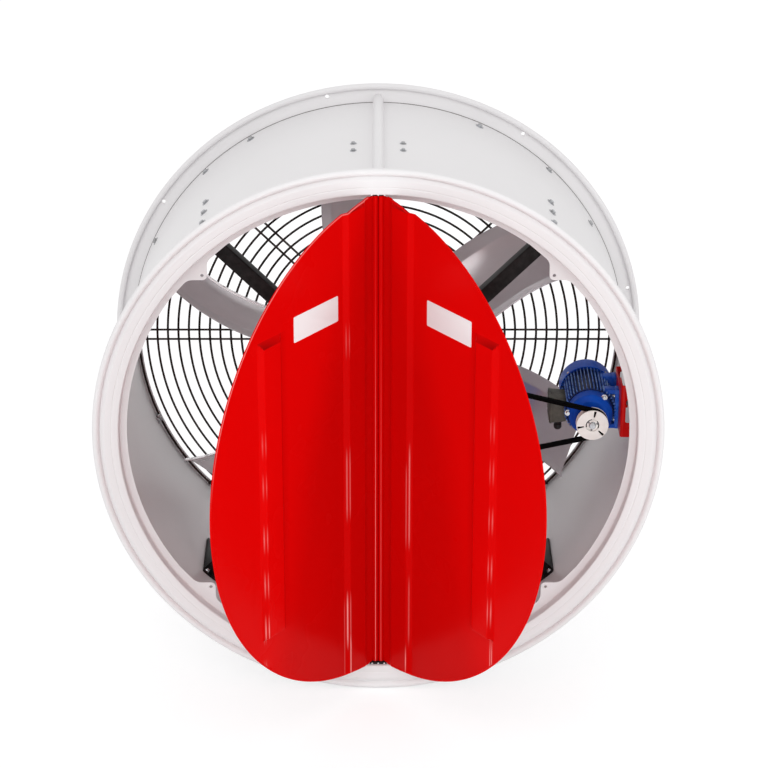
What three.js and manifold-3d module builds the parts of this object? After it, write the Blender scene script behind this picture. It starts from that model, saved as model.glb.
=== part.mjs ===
// Drum exhaust fan with a two-leaf butterfly shutter, belt drive and wire guard.
// Sizes are millimetres. +X is right for a person who faces the outlet, +Y runs back to the wall, +Z is up.
// The origin is on the drum axis, in the back plane of the rear flange.

import * as THREE from 'three';
import { mergeVertices } from 'three/addons/utils/BufferGeometryUtils.js';
import Module from 'manifold-3d';

const wasm = await Module();
wasm.setup();

// Clearances and working values
const fit = 0.3;
const runningFit = 0.7;
const overrun = 10;
const weldLap = 1;
const mergeDistance = 0.001;

// Facets round a full turn
const drumSides = 48;
const pulleySides = 20;
const hubSides = 24;
const motorSides = 18;
const shaftSides = 12;
const rodSides = 12;

// Places along the drum axis, measured back from the drum's front plane: belt, motor, impeller, rear flange
const beltDepth = 122;
const beltToShield = 28;
const frontShieldLength = 58;
const motorFrameLength = 141;
const cowlLength = 51;
const motorToImpeller = 130;
const impellerToRear = 215;
const shieldFront = beltDepth + beltToShield;
const frameFront = shieldFront + frontShieldLength;
const frameRear = frameFront + motorFrameLength;
const cowlRear = frameRear + cowlLength;
const impellerDepth = cowlRear + motorToImpeller;
const drumDepth = impellerDepth + impellerToRear;

// Drum
const drumRadius = 719;
const drumWall = 3;
const drumInner = drumRadius - drumWall;
const seamCoverWidth = 32;
const seamCoverHeight = 23;

// Front ring
const frontRingOverhang = 56;
const frontRingRadius = drumRadius + frontRingOverhang;
const frontHemRadius = 10.5;
const frontSheet = 2.5;
const faceGrooveWidth = 12;
const faceGrooveDepth = 5;
const recessInset = 17;
const recessRadius = drumRadius - recessInset;
const recessEdgeBend = 4;
const recessDepth = 30;
const lipWidth = 20;
const lipRadius = recessRadius - lipWidth;
const earEdgeShare = 0.66422;
const earEdge = lipRadius * earEdgeShare;
const earCorner = 10;
const earHoleInset = 13;
const earHolePlace = earEdge + earHoleInset;
const earHoleRadius = 4.5;

// Rear flange
const rearFlangeOverhang = 54;
const rearFlangeRadius = drumRadius + rearFlangeOverhang;
const rearHemRadius = 9;
const rearOpeningInset = 17;
const rearOpeningRadius = drumRadius - rearOpeningInset;
const rearSheet = 3;
const rearFlareLength = 19;
const rearFlareWall = 2.5;
const wallHoleCount = 8;
const wallHoleRadius = 6;
const wallHolePlace = (drumRadius + rearFlangeRadius) / 2;

// Shutter leaves
const leafOpenAngle = 53.3;
const leafClearance = 4.5;
const leafRadius = recessRadius - leafClearance;
const leafSheet = 2.5;
const leafSides = 24;
const hingePlace = 7.5;
const hingeDepth = 20;
const hingeTubeRadius = 6.5;
const hingeRodRadius = 4;
const hingeBlockWidth = 48;
const hingeBlockHeight = 6;
const hingeBlockFront = 8;
const leafNotchWidth = 30;
const leafNotchClearance = 2;
const leafRibHeight = 12;
const leafRibSlope = 17;
const innerRibStart = 55;
const innerRibEnd = 152;
const innerRibTopSlope = 36;
const outerRibStartShare = 0.5806;
const outerRibEndShare = 0.7283;
const outerRibTopShare = 0.6265;
const outerRibBottomShare = 0.595;
const outerRibEndSlope = 24;

// Braces and their plate
const beltToHousing = 38;
const housingToBrace = 57;
const housingFront = beltDepth + beltToHousing;
const braceDepth = housingFront + housingToBrace;
const braceLeg = 40;
const braceSteel = 4;
const braceOffset = 7;
const braceStart = 84;
const footWidth = 76;
const footLength = 205;
const footLead = 12;
const footSteel = 6;
const bearingPlateWidth = 190;
const bearingPlateSteel = 8;
const bearingPlateCorner = 30;

// Impeller shaft and its bearings
const shaftRadius = 20;
const shaftLead = 24;
const shaftTail = 106;
const shaftFront = beltDepth - shaftLead;
const shaftRear = impellerDepth + shaftTail;
const housingToImpeller = 130;
const housingRear = impellerDepth - housingToImpeller;
const housingRadius = 50;
const housingFlangeRadius = 80;
const housingFlangeWidth = 10;
const housingBore = 29;
const bearingRadius = 36;
const bearingWidth = 18;

// Impeller
const bladeCount = 6;
const firstBladeAngle = 43;
const bladeTipClearance = 81;
const bladeTipRadius = drumInner - bladeTipClearance;
const bladeSteel = 3;
const bladeLeadRoot = 72;
const bladeLeadTip = 99;
const bladeTrailRoot = 96;
const bladeTrailTip = 52;
const bladeLeadAngles = [20.6, 11, -0.5];
const bladeTrailAngles = [-30.9, -16.2, -16.5];
const bladeCamberShare = 0.6;
const bladeSpanSteps = 5;
const bladeChordSteps = 7;
const hubRadius = 150;
const hubWall = 5;
const hubFront = 108;
const hubRear = 84;
const hubWeb = 10;
const hubBossRadius = 46;
const hubBossLength = 110;

// Belt drive
const beltWidth = 17;
const beltHeight = 11;
const beltTaper = 3.4;
const beltPitchDrop = 3.5;
const fanPitchRadius = 175.5;
const motorPitchRadius = 40.1;
const beltFlankClearance = 0.7;
const beltFloorClearance = 2;
const pulleyRimWidth = 26;
const pulleyRimLip = 0.5;
const fanPulleyRim = 20;
const fanPulleyWeb = 9;
const fanPulleyBossRadius = 48;
const fanPulleyBossWidth = 40;
const fanPulleyHoleCount = 5;
const fanPulleyHoleRadius = 30;
const motorPulleySlotInner = 19;
const motorPulleySlotOuter = 38;
const motorPulleySlotWidth = 5;
const motorPulleySlotDepth = 3;
const motorPulleySlotCount = 3;
const motorPulleyFirstSlot = 66;
const beltBigSteps = 26;
const beltSmallSteps = 12;

// Motor, lying on its side with its feet towards the drum wall
const bracketDepth = 47.7;
const motorShaftHeight = 80;
const motorFloorGap = 5;
const cowlRadius = motorShaftHeight - motorFloorGap;
const motorX = drumInner - bracketDepth - fit - motorShaftHeight;
const motorZ = -8;
const motorShaftRadius = 9.5;
const motorShaftLead = 18;
const motorShaftEnd = beltDepth - motorShaftLead;
const shieldNoseRadius = 27;
const shieldNoseLength = 14;
const shieldShoulder = 26;
const cowlOverlap = 3;
const frameFinHeight = 10;
const frameFinRadius = cowlRadius - cowlOverlap;
const frameCoreRadius = frameFinRadius - frameFinHeight;
const shieldInset = 1;
const shieldRadius = frameCoreRadius - shieldInset;
const frameFinCount = 24;
const frameFinShare = 0.32;
const frameBore = 12;
const lugReach = frameFinRadius;
const lugRadius = 8;
const lugCount = 3;
const firstLugAngle = 55;
const rearShieldWidth = 8;
const cowlLap = 8;
const cowlSlotCount = 8;
const cowlSlotWidth = 7;
const cowlSlotInner = 22;
const cowlSlotInset = 17;
const cowlSlotOuter = cowlRadius - cowlSlotInset;
const coolingFanGap = 2;
const coolingFanRadius = frameCoreRadius - coolingFanGap;
const coolingFanWidth = 22;
const coolingFanHub = 18;
const coolingFanBlade = 3;
const coolingFanBlades = 6;
const coolingFanClearance = 5;
const motorFootWidth = 116;
const motorFootLength = 34;
const motorFootThickness = 11;
const motorFootInset = 6;
const motorFootFrontWeb = 12;
const motorFootRearWeb = 34;
const terminalBoxGap = 1;
const terminalBoxDepth = 48;
const terminalBoxIn = frameCoreRadius + terminalBoxGap;
const terminalBoxOut = terminalBoxIn + terminalBoxDepth;
const terminalBoxTop = 18;
const terminalBoxBottom = 50;
const terminalBoxInset = 24;
const terminalBoxFront = frameFront + terminalBoxInset;
const terminalBoxLength = 92;
const terminalLidThickness = 7;
const terminalLidLip = 2;
const terminalPadInset = 12;
const terminalPadRoot = 12;
const glandRadius = 9;
const glandNutRadius = 12;
const glandNutHeight = 11;
const glandLength = 27;
const glandFromLid = 26;
const glandPlace = terminalBoxOut - glandFromLid;
const glandInset = 24;
const glandDepth = terminalBoxFront + glandInset;

// Motor bracket
const bracketSteel = 4;
const bracketLead = 53;
const bracketTail = 6;
const bracketFront = frameFront - bracketLead;
const bracketLength = frameRear + bracketTail - bracketFront;
const bracketTop = 90;
const bracketRearTop = 62;
const bracketShoulder = 60;
const bracketBottom = 65;
const bracketFootWidth = 26;
const bracketWindowHeight = 70;
const bracketWindowInset = 14;

// Guard
const wire = 6;
const guardFirstRing = 64;
const guardLastGap = 18;
const guardRingCount = 21;
const guardPitch = (rearOpeningRadius - guardLastGap - guardFirstRing) / (guardRingCount - 1);
const guardRimInset = 7.5;
const guardRimRadius = drumInner - guardRimInset;
const guardSidesInner = 12;
const guardSidesOuter = 20;
const guardSidesRim = 24;
const guardFineRadius = 350;
const spokeSpacing = 30;
const spokeCount = 8;
const spokeInner = 56;
const spokeOuter = guardRimRadius + wire / 2;
const clipWidth = 22;
const clipSteel = 3;
const clipFoot = 18;
const clipReach = 11;

// Paint and metal
const whitePaint = { color: 0xe9e6e7, roughness: 0.45, metalness: 0.0 };
const redPaint = { color: 0xd80808, roughness: 0.35, metalness: 0.0 };
const bluePaint = { color: 0x2850a0, roughness: 0.5, metalness: 0.1 };
const blackPaint = { color: 0x18181a, roughness: 0.55, metalness: 0.1 };
const bladeMetal = { color: 0xb9bcc0, roughness: 0.18, metalness: 1.0 };
const plainSteel = { color: 0x8e9196, roughness: 0.35, metalness: 1.0 };
const darkChrome = { color: 0x55585c, roughness: 0.3, metalness: 1.0 };
const castGrey = { color: 0x6f7276, roughness: 0.6, metalness: 0.5 };
const pulleyAlloy = { color: 0xc9c8c4, roughness: 0.35, metalness: 0.8 };
const beltRubber = { color: 0x121213, roughness: 0.8, metalness: 0.0 };
const boxGrey = { color: 0x4a4d48, roughness: 0.7, metalness: 0.0 };
const glandPlastic = { color: 0x202122, roughness: 0.6, metalness: 0.0 };

const fullTurn = 2 * Math.PI;
const degrees = Math.PI / 180;

// Y of a place so far behind the front plane.
function behind(depth) {
  return depth - drumDepth;
}

// Radius of a faceted hole that clears a round of the given radius.
function around(radius, clearance, sides) {
  return (radius + clearance) / Math.cos(Math.PI / sides);
}

// The geometry with its shared corners merged and its empty triangles left out.
function merged(geometry) {
  const bare = geometry.clone();
  bare.deleteAttribute('normal');
  bare.deleteAttribute('uv');
  const joined = mergeVertices(bare, mergeDistance);
  const kept = [];
  const corners = joined.index.array;
  for (let i = 0; i < corners.length; i += 3) {
    const triangle = [corners[i], corners[i + 1], corners[i + 2]];
    if (new Set(triangle).size === 3) kept.push(...triangle);
  }
  joined.setIndex(kept);
  return joined;
}

function solidOf(geometry) {
  const shape = merged(geometry);
  return new wasm.Manifold(new wasm.Mesh({
    numProp: 3,
    vertProperties: new Float32Array(shape.attributes.position.array),
    triVerts: new Uint32Array(shape.index.array),
  }));
}

function geometryOf(solid) {
  const mesh = solid.getMesh();
  const geometry = new THREE.BufferGeometry();
  geometry.setAttribute('position', new THREE.BufferAttribute(mesh.vertProperties, 3));
  geometry.setIndex(new THREE.BufferAttribute(mesh.triVerts, 1));
  geometry.computeVertexNormals();
  return geometry;
}

function join(...geometries) {
  return geometryOf(geometries.map(solidOf).reduce((whole, next) => whole.add(next)));
}

function cut(base, ...tools) {
  return geometryOf(tools.map(solidOf).reduce((whole, tool) => whole.subtract(tool), solidOf(base)));
}

function common(first, second) {
  return geometryOf(solidOf(first).intersect(solidOf(second)));
}

// Turns round a profile of [radius, y] pairs about the Y axis. A profile off the axis closes on itself.
function revolve(profile, sides) {
  const points = profile.map(([radius, y]) => new THREE.Vector2(radius, y));
  if (points[0].x > 0) points.push(points[0].clone());
  const area = THREE.ShapeUtils.area(points);
  if (area < 0) points.reverse();
  return new THREE.LatheGeometry(points, sides);
}

function ring(inner, outer, front, back, sides) {
  return revolve([[inner, front], [outer, front], [outer, back], [inner, back]], sides);
}

function disc(radius, front, back, sides) {
  const geometry = new THREE.CylinderGeometry(radius, radius, back - front, sides);
  return geometry.translate(0, (front + back) / 2, 0);
}

function box(x0, x1, y0, y1, z0, z1) {
  const geometry = new THREE.BoxGeometry(x1 - x0, y1 - y0, z1 - z0);
  return geometry.translate((x0 + x1) / 2, (y0 + y1) / 2, (z0 + z1) / 2);
}

// Extrudes an X-Z outline from front to back.
function plate(shape, front, back, curveSegments = 8) {
  const depth = back - front;
  const geometry = new THREE.ExtrudeGeometry(shape, { depth, bevelEnabled: false, curveSegments });
  return geometry.rotateX(Math.PI / 2).translate(0, back, 0);
}

function outline(points) {
  return new THREE.Shape(points.map(([x, z]) => new THREE.Vector2(x, z)));
}

// Flips a closed surface that was built inside out.
function outward(geometry) {
  const position = geometry.attributes.position;
  const corners = Array.from(geometry.index.array);
  const [a, b, c] = [new THREE.Vector3(), new THREE.Vector3(), new THREE.Vector3()];
  let volume = 0;
  for (let i = 0; i < corners.length; i += 3) {
    a.fromBufferAttribute(position, corners[i]);
    b.fromBufferAttribute(position, corners[i + 1]);
    c.fromBufferAttribute(position, corners[i + 2]);
    volume += a.dot(b.cross(c));
  }
  if (volume < 0) geometry.setIndex(corners.reverse());
  geometry.computeVertexNormals();
  return geometry;
}

// Joins a row of sections, each a loop of points, into one surface. A closed row needs no caps.
function skin(sections, closedRow, capFaces = []) {
  const count = sections[0].length;
  const rows = sections.length;
  const corners = [];
  const lastRow = closedRow ? rows : rows - 1;
  for (let row = 0; row < lastRow; row += 1) {
    for (let i = 0; i < count; i += 1) {
      const next = (i + 1) % count;
      const [a, b] = [row * count + i, row * count + next];
      const [c, d] = [((row + 1) % rows) * count + i, ((row + 1) % rows) * count + next];
      corners.push(a, b, d, a, d, c);
    }
  }
  for (const [a, b, c] of capFaces) {
    const end = (rows - 1) * count;
    corners.push(a, c, b, end + a, end + b, end + c);
  }
  const geometry = new THREE.BufferGeometry().setFromPoints(sections.flat());
  geometry.setIndex(corners);
  return outward(geometry);
}

const fan = new THREE.Group();

function piece(name, geometry, look, parent = fan) {
  const mesh = new THREE.Mesh(geometry, new THREE.MeshStandardMaterial(look));
  mesh.name = name;
  parent.add(mesh);
  return mesh;
}

// Drum: two rolled halves welded behind the front ring's face and in front of the rear flange
const frontOpening = -overrun * 2;
const drumBore = disc(drumInner - fit, behind(frontOpening), overrun, drumSides);

function drumShell(side) {
  const front = behind(frontSheet + fit);
  const back = -rearSheet - fit;
  const edges = [side * fit / 2, side * (drumRadius + overrun)];
  const reach = drumRadius + overrun;
  const half = box(Math.min(...edges), Math.max(...edges), front - overrun, back + overrun, -reach, reach);
  return common(ring(drumInner, drumRadius, front, back, drumSides), half);
}

function flareWedge(grow) {
  const foot = drumRadius + fit;
  const hem = rearFlangeRadius - 2 * rearHemRadius;
  return [
    [foot, -rearFlareLength - grow],
    [foot + rearFlareWall + grow, -rearFlareLength - grow],
    [hem + grow, -rearHemRadius / 2 - grow],
    [hem + grow, -rearSheet / 2],
    [foot, -rearSheet / 2],
  ];
}

// Half-round cover over the shell's long seam, cut to the slope of the rear flange
function seamCover() {
  const half = seamCoverWidth / 2;
  const base = drumRadius + fit;
  const shape = new THREE.Shape();
  shape.moveTo(-half, base);
  shape.lineTo(half, base);
  shape.lineTo(half, drumRadius + seamCoverHeight - half);
  shape.absarc(0, drumRadius + seamCoverHeight - half, half, 0, Math.PI, false);
  const front = behind(faceGrooveDepth + frontSheet + fit);
  const strip = plate(shape, front, -rearSheet - fit, 8);
  return cut(strip, revolve(flareWedge(fit), drumSides));
}

// Front ring: hem, groove, flat face, step wall and the lip that the leaves close on
function frontRing() {
  const hemCentre = frontRingRadius - frontHemRadius;
  const grooveRadius = hemCentre - frontHemRadius;
  const grooveStart = grooveRadius - faceGrooveWidth;
  const profile = [
    [lipRadius, recessDepth],
    [recessRadius, recessDepth],
    [recessRadius, recessEdgeBend],
    [recessRadius + recessEdgeBend, 0],
    [grooveStart, 0],
    [grooveRadius, faceGrooveDepth],
  ];
  const hemSteps = 5;
  for (let step = 1; step <= hemSteps; step += 1) {
    const angle = Math.PI * (1 + 1.5 * step / hemSteps);
    const y = faceGrooveDepth + frontHemRadius * Math.sin(angle);
    profile.push([hemCentre + frontHemRadius * Math.cos(angle), y]);
  }
  profile.push(
    [grooveRadius, faceGrooveDepth + frontSheet],
    [grooveStart, frontSheet],
    [recessRadius + frontSheet, frontSheet],
    [recessRadius + frontSheet, recessDepth + frontSheet],
    [lipRadius, recessDepth + frontSheet],
  );
  return revolve(profile.map(([radius, depth]) => [radius, behind(depth)]), drumSides);
}

// One ear at the corner of the lip, in the quadrant where x and z are positive
function ear() {
  const outer = lipRadius + (recessRadius - lipRadius) / 2;
  const reach = Math.sqrt(outer ** 2 - earEdge ** 2);
  const start = Math.atan2(earEdge, reach);
  const shape = new THREE.Shape();
  shape.moveTo(earEdge, earEdge + earCorner);
  shape.lineTo(earEdge + earCorner, earEdge);
  shape.lineTo(reach, earEdge);
  shape.absarc(0, 0, outer, start, Math.PI / 2 - start, false);
  const hole = new THREE.Path();
  hole.absarc(earHolePlace, earHolePlace, earHoleRadius, 0, fullTurn, true);
  shape.holes.push(hole);
  return plate(shape, behind(recessDepth), behind(recessDepth + frontSheet), 4);
}

function frontRingWithEars() {
  const ears = [0, 1, 2, 3].map((quarter) => ear().rotateY(quarter * Math.PI / 2));
  return join(frontRing(), ...ears);
}

// Rear flange: flat back, rolled hem, flare against the drum and holes for the wall bolts
function rearFlange() {
  const hemCentre = rearFlangeRadius - rearHemRadius;
  const profile = [[rearOpeningRadius, 0], [hemCentre, 0]];
  const hemSteps = 3;
  for (let step = 1; step <= hemSteps; step += 1) {
    const angle = Math.PI * (0.5 - 1.25 * step / hemSteps);
    const y = -rearHemRadius + rearHemRadius * Math.sin(angle);
    profile.push([hemCentre + rearHemRadius * Math.cos(angle), y]);
  }
  const foot = drumRadius + fit;
  profile.push(
    [hemCentre - rearHemRadius, -rearHemRadius / 2],
    [foot + rearFlareWall, -rearFlareLength],
    [foot, -rearFlareLength],
    [foot, -rearSheet],
    [rearOpeningRadius, -rearSheet],
  );
  const holes = [];
  for (let i = 0; i < wallHoleCount; i += 1) {
    const drill = disc(wallHoleRadius, -rearFlareLength - overrun, overrun, 8);
    holes.push(drill.translate(wallHolePlace, 0, 0).rotateY((i + 0.75) * fullTurn / wallHoleCount));
  }
  return cut(revolve(profile, drumSides), ...holes);
}

piece('drum_shell_left', drumShell(-1), whitePaint);
piece('drum_shell_right', drumShell(1), whitePaint);
piece('drum_seam_cover', seamCover(), whitePaint);
piece('front_ring', frontRingWithEars(), whitePaint);
piece('rear_flange', rearFlange(), whitePaint);

// Shutter leaves: half discs with two pressed ribs and a hinge tube on the straight edge
const hingeBlockInner = recessRadius - hingeBlockHeight - weldLap;

// A raised rib of a leaf, in leaf measures: u from the hinge, z up, height towards the front.
function ribSolid(u0, u1, z0, z1, slopeTop, slopeBottom, shrink, side) {
  const back = -hingeTubeRadius - shrink;
  const base = hingeTubeRadius - leafSheet / 2 + shrink;
  const front = hingeTubeRadius - leafSheet - leafRibHeight + shrink;
  const loop = (a0, a1, b0, b1, y) => [
    new THREE.Vector3(side * a0, y, b0),
    new THREE.Vector3(side * a1, y, b0),
    new THREE.Vector3(side * a1, y, b1),
    new THREE.Vector3(side * a0, y, b1),
  ];
  const foot = loop(u0 + shrink, u1 - shrink, z0 + shrink, z1 - shrink, base);
  const crest = loop(
    u0 + leafRibSlope + shrink,
    u1 - leafRibSlope - shrink,
    z0 + slopeBottom + shrink,
    z1 - slopeTop - shrink,
    Math.max(front, back),
  );
  return skin([foot, crest], false, [[0, 1, 2], [0, 2, 3]]);
}

function leafSolid(side) {
  const notch = hingeBlockInner - leafNotchClearance;
  const back = hingeTubeRadius;
  const arcStart = Math.acos((leafNotchWidth + hingePlace) / leafRadius);
  const shape = new THREE.Shape();
  shape.moveTo(side * leafSheet, -notch);
  shape.lineTo(side * leafNotchWidth, -notch);
  if (side > 0) shape.absarc(-hingePlace, 0, leafRadius, -arcStart, arcStart, false);
  else shape.absarc(hingePlace, 0, leafRadius, Math.PI + arcStart, Math.PI - arcStart, true);
  shape.lineTo(side * leafNotchWidth, notch);
  shape.lineTo(side * leafSheet, notch);
  const sheet = plate(shape, back - leafSheet, back, leafSides);
  const half = leafRadius + overrun;
  const within = plate(shape, -half, half, leafSides);
  const outer = [
    leafRadius * outerRibStartShare, leafRadius * outerRibEndShare,
    -leafRadius * outerRibBottomShare, leafRadius * outerRibTopShare, outerRibEndSlope, outerRibEndSlope,
  ];
  const inner = [innerRibStart, innerRibEnd, -half, leafRadius, innerRibTopSlope, 0];
  const tube = disc(hingeTubeRadius, 0, 2 * (hingeBlockInner - fit), rodSides);
  tube.rotateX(Math.PI / 2).translate(0, 0, -hingeBlockInner + fit);
  const bore = disc(around(hingeRodRadius, runningFit, rodSides), 0, 2 * half, rodSides);
  bore.rotateX(Math.PI / 2).translate(0, 0, -half);
  const innerRib = common(ribSolid(...inner, 0, side), within);
  const raised = join(sheet, ribSolid(...outer, 0, side), innerRib, tube);
  return cut(raised, ribSolid(...outer, leafSheet, side), ribSolid(...inner, leafSheet, side), bore);
}

function leaf(name, side) {
  const mesh = piece(name, leafSolid(side), redPaint);
  mesh.position.set(side * hingePlace, behind(hingeDepth), 0);
  mesh.rotation.z = -side * leafOpenAngle * degrees;
}

function hingeRod(side) {
  const end = recessRadius - weldLap - 2 * fit;
  const rod = disc(hingeRodRadius, -end, end, rodSides).rotateX(Math.PI / 2);
  return rod.translate(side * hingePlace, behind(hingeDepth), 0);
}

// A bearing block on the recess wall that holds one end of both rods
function hingeBlock(up) {
  const half = hingeBlockWidth / 2;
  const back = behind(recessDepth - fit);
  const tall = box(-half, half, behind(hingeBlockFront), back, hingeBlockInner, recessRadius + overrun);
  const seat = disc(recessRadius - fit, behind(frontOpening), overrun, drumSides);
  const holes = [-1, 1].map((side) => {
    const hole = disc(around(hingeRodRadius, fit, rodSides), 0, recessRadius + 2 * overrun, rodSides);
    return hole.rotateX(Math.PI / 2).translate(side * hingePlace, behind(hingeDepth), 0);
  });
  const block = cut(common(tall, seat), ...holes);
  return up ? block : block.rotateY(Math.PI);
}

leaf('shutter_left', -1);
leaf('shutter_right', 1);
piece('hinge_rod_left', hingeRod(-1), plainSteel);
piece('hinge_rod_right', hingeRod(1), plainSteel);
piece('hinge_block_top', hingeBlock(true), blackPaint);
piece('hinge_block_bottom', hingeBlock(false), blackPaint);

// Braces: angle bars at 45 degrees, each welded to a foot on the drum wall
function brace(turn, side) {
  const front = behind(braceDepth);
  const near = side * braceOffset;
  const far = side * (braceOffset + braceLeg);
  const bar = (a, b, depth) => box(
    braceStart, drumInner - footSteel / 2, front, front + depth, Math.min(a, b), Math.max(a, b),
  );
  const flatLeg = bar(near, far, braceSteel);
  const deepLeg = bar(far - side * braceSteel, far, braceLeg);
  const footCentre = braceOffset + footWidth / 2;
  const footTurn = side * Math.asin(footCentre / drumInner);
  const footFront = behind(braceDepth - footLead);
  const foot = box(
    drumInner - footSteel, drumInner + overrun, footFront, footFront + footLength,
    -footWidth / 2, footWidth / 2,
  ).rotateY(-footTurn);
  const whole = join(flatLeg, deepLeg, foot).rotateY(turn);
  return common(whole, drumBore);
}

// Plate in front of the braces' inner ends that carries the bearing housing
function bearingPlate() {
  const half = bearingPlateWidth / 2;
  const flat = half - bearingPlateCorner;
  const shape = outline([
    [half, -flat], [half, flat], [flat, half], [-flat, half],
    [-half, flat], [-half, -flat], [-flat, -half], [flat, -half],
  ]);
  const hole = new THREE.Path();
  hole.absarc(0, 0, around(housingRadius, fit, motorSides), 0, fullTurn, true);
  shape.holes.push(hole);
  const back = behind(braceDepth) - fit;
  return plate(shape, back - bearingPlateSteel, back, motorSides / 2);
}

function bearingHousing() {
  const flangeBack = behind(braceDepth) - bearingPlateSteel - 2 * fit;
  const flangeFront = flangeBack - housingFlangeWidth;
  const seat = around(bearingRadius, fit, motorSides);
  const front = behind(housingFront);
  const back = behind(housingRear);
  return revolve([
    [seat, front],
    [housingRadius, front],
    [housingRadius, flangeFront],
    [housingFlangeRadius, flangeFront],
    [housingFlangeRadius, flangeBack],
    [housingRadius, flangeBack],
    [housingRadius, back],
    [seat, back],
    [seat, back - bearingWidth - fit],
    [housingBore, back - bearingWidth - fit],
    [housingBore, front + bearingWidth + fit],
    [seat, front + bearingWidth + fit],
  ], motorSides);
}

function bearing(front) {
  const bore = around(shaftRadius, runningFit, motorSides);
  return ring(bore, bearingRadius, front, front + bearingWidth, motorSides);
}

const eighthTurn = Math.PI / 4;
piece('brace_upper_right', brace(-eighthTurn, 1), blackPaint);
piece('brace_upper_left', brace(-3 * eighthTurn, -1), blackPaint);
piece('brace_lower_right', brace(eighthTurn, -1), blackPaint);
piece('brace_lower_left', brace(3 * eighthTurn, 1), blackPaint);
piece('bearing_plate', bearingPlate(), blackPaint);
piece('bearing_housing', bearingHousing(), castGrey);
piece('bearing_front', bearing(behind(housingFront)), plainSteel);
piece('bearing_rear', bearing(behind(housingRear) - bearingWidth), plainSteel);

// Impeller: blades welded to a hub drum on the shaft
function hub() {
  const centre = behind(impellerDepth);
  const bore = around(shaftRadius, fit, hubSides);
  const inside = hubRadius - hubWall;
  const half = hubWeb / 2;
  const bossHalf = hubBossLength / 2;
  return revolve([
    [bore, centre - bossHalf],
    [hubBossRadius, centre - bossHalf],
    [hubBossRadius, centre - half],
    [inside, centre - half],
    [inside, centre - hubFront],
    [hubRadius, centre - hubFront],
    [hubRadius, centre + hubRear],
    [inside, centre + hubRear],
    [inside, centre + half],
    [hubBossRadius, centre + half],
    [hubBossRadius, centre + bossHalf],
    [bore, centre + bossHalf],
  ], hubSides);
}

// Value at a share of the span, on the curve through its root, middle and tip values.
function alongSpan([root, middle, tip], share) {
  const rootPart = root * (1 - share) * (1 - 2 * share);
  const middlePart = middle * 4 * share * (1 - share);
  return rootPart + middlePart + tip * share * (2 * share - 1);
}

// One section of a blade at a share of the span: a loop down one face and back up the other.
function bladeSection(share, rootRadius) {
  const radius = rootRadius + share * (bladeTipRadius - rootRadius);
  const leadArc = radius * alongSpan(bladeLeadAngles, share) * degrees;
  const trailArc = radius * alongSpan(bladeTrailAngles, share) * degrees;
  const lead = new THREE.Vector2(leadArc, bladeLeadRoot + share * (bladeLeadTip - bladeLeadRoot));
  const trail = new THREE.Vector2(trailArc, -bladeTrailRoot - share * (bladeTrailTip - bladeTrailRoot));
  const middle = lead.clone().lerp(trail, 0.5);
  const knee = middle.lerp(new THREE.Vector2(trail.x, lead.y), bladeCamberShare);
  const curve = new THREE.QuadraticBezierCurve(lead, knee, trail);
  const faces = [[], []];
  for (let step = 0; step <= bladeChordSteps; step += 1) {
    const point = curve.getPoint(step / bladeChordSteps);
    const along = curve.getTangent(step / bladeChordSteps);
    faces.forEach((face, i) => {
      const offset = (i === 0 ? 0.5 : -0.5) * bladeSteel;
      const angle = (point.x - along.y * offset) / radius;
      const depth = behind(impellerDepth) + point.y + along.x * offset;
      face.push(new THREE.Vector3(radius * Math.cos(angle), depth, radius * Math.sin(angle)));
    });
  }
  return [...faces[0], ...faces[1].reverse()];
}

function bladeSolid() {
  const meanStep = (bladeLeadAngles[0] - bladeTrailAngles[0]) * degrees / bladeChordSteps;
  const widestStep = 2 * meanStep;
  const rootRadius = around(hubRadius, fit, fullTurn / widestStep);
  const sections = [];
  for (let step = 0; step <= bladeSpanSteps; step += 1) {
    sections.push(bladeSection(step / bladeSpanSteps, rootRadius));
  }
  const last = 2 * bladeChordSteps + 1;
  const caps = [];
  for (let i = 0; i < bladeChordSteps; i += 1) {
    caps.push([i, i + 1, last - i - 1], [i, last - i - 1, last - i]);
  }
  return skin(sections, false, caps);
}

piece('impeller_shaft', disc(shaftRadius, behind(shaftFront), behind(shaftRear), shaftSides), plainSteel);
piece('impeller_hub', hub(), castGrey);
for (let i = 0; i < bladeCount; i += 1) {
  const mesh = piece(`blade_${i + 1}`, bladeSolid(), bladeMetal);
  mesh.rotation.y = -(firstBladeAngle * degrees + i * fullTurn / bladeCount);
}

// Pulleys and belt
const beltMid = behind(beltDepth);
const grooveTop = beltWidth / 2 + beltFlankClearance;
const grooveFloorHalf = beltWidth / 2 - beltTaper + beltFlankClearance;

// The rim's groove from front to back, as [radius, y] pairs.
function grooveProfile(pitchRadius) {
  const top = pitchRadius + beltPitchDrop + pulleyRimLip;
  const floor = pitchRadius + beltPitchDrop - beltHeight - beltFloorClearance;
  return [
    [top, beltMid - pulleyRimWidth / 2],
    [top, beltMid - grooveTop],
    [floor, beltMid - grooveFloorHalf],
    [floor, beltMid + grooveFloorHalf],
    [top, beltMid + grooveTop],
    [top, beltMid + pulleyRimWidth / 2],
  ];
}

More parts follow.
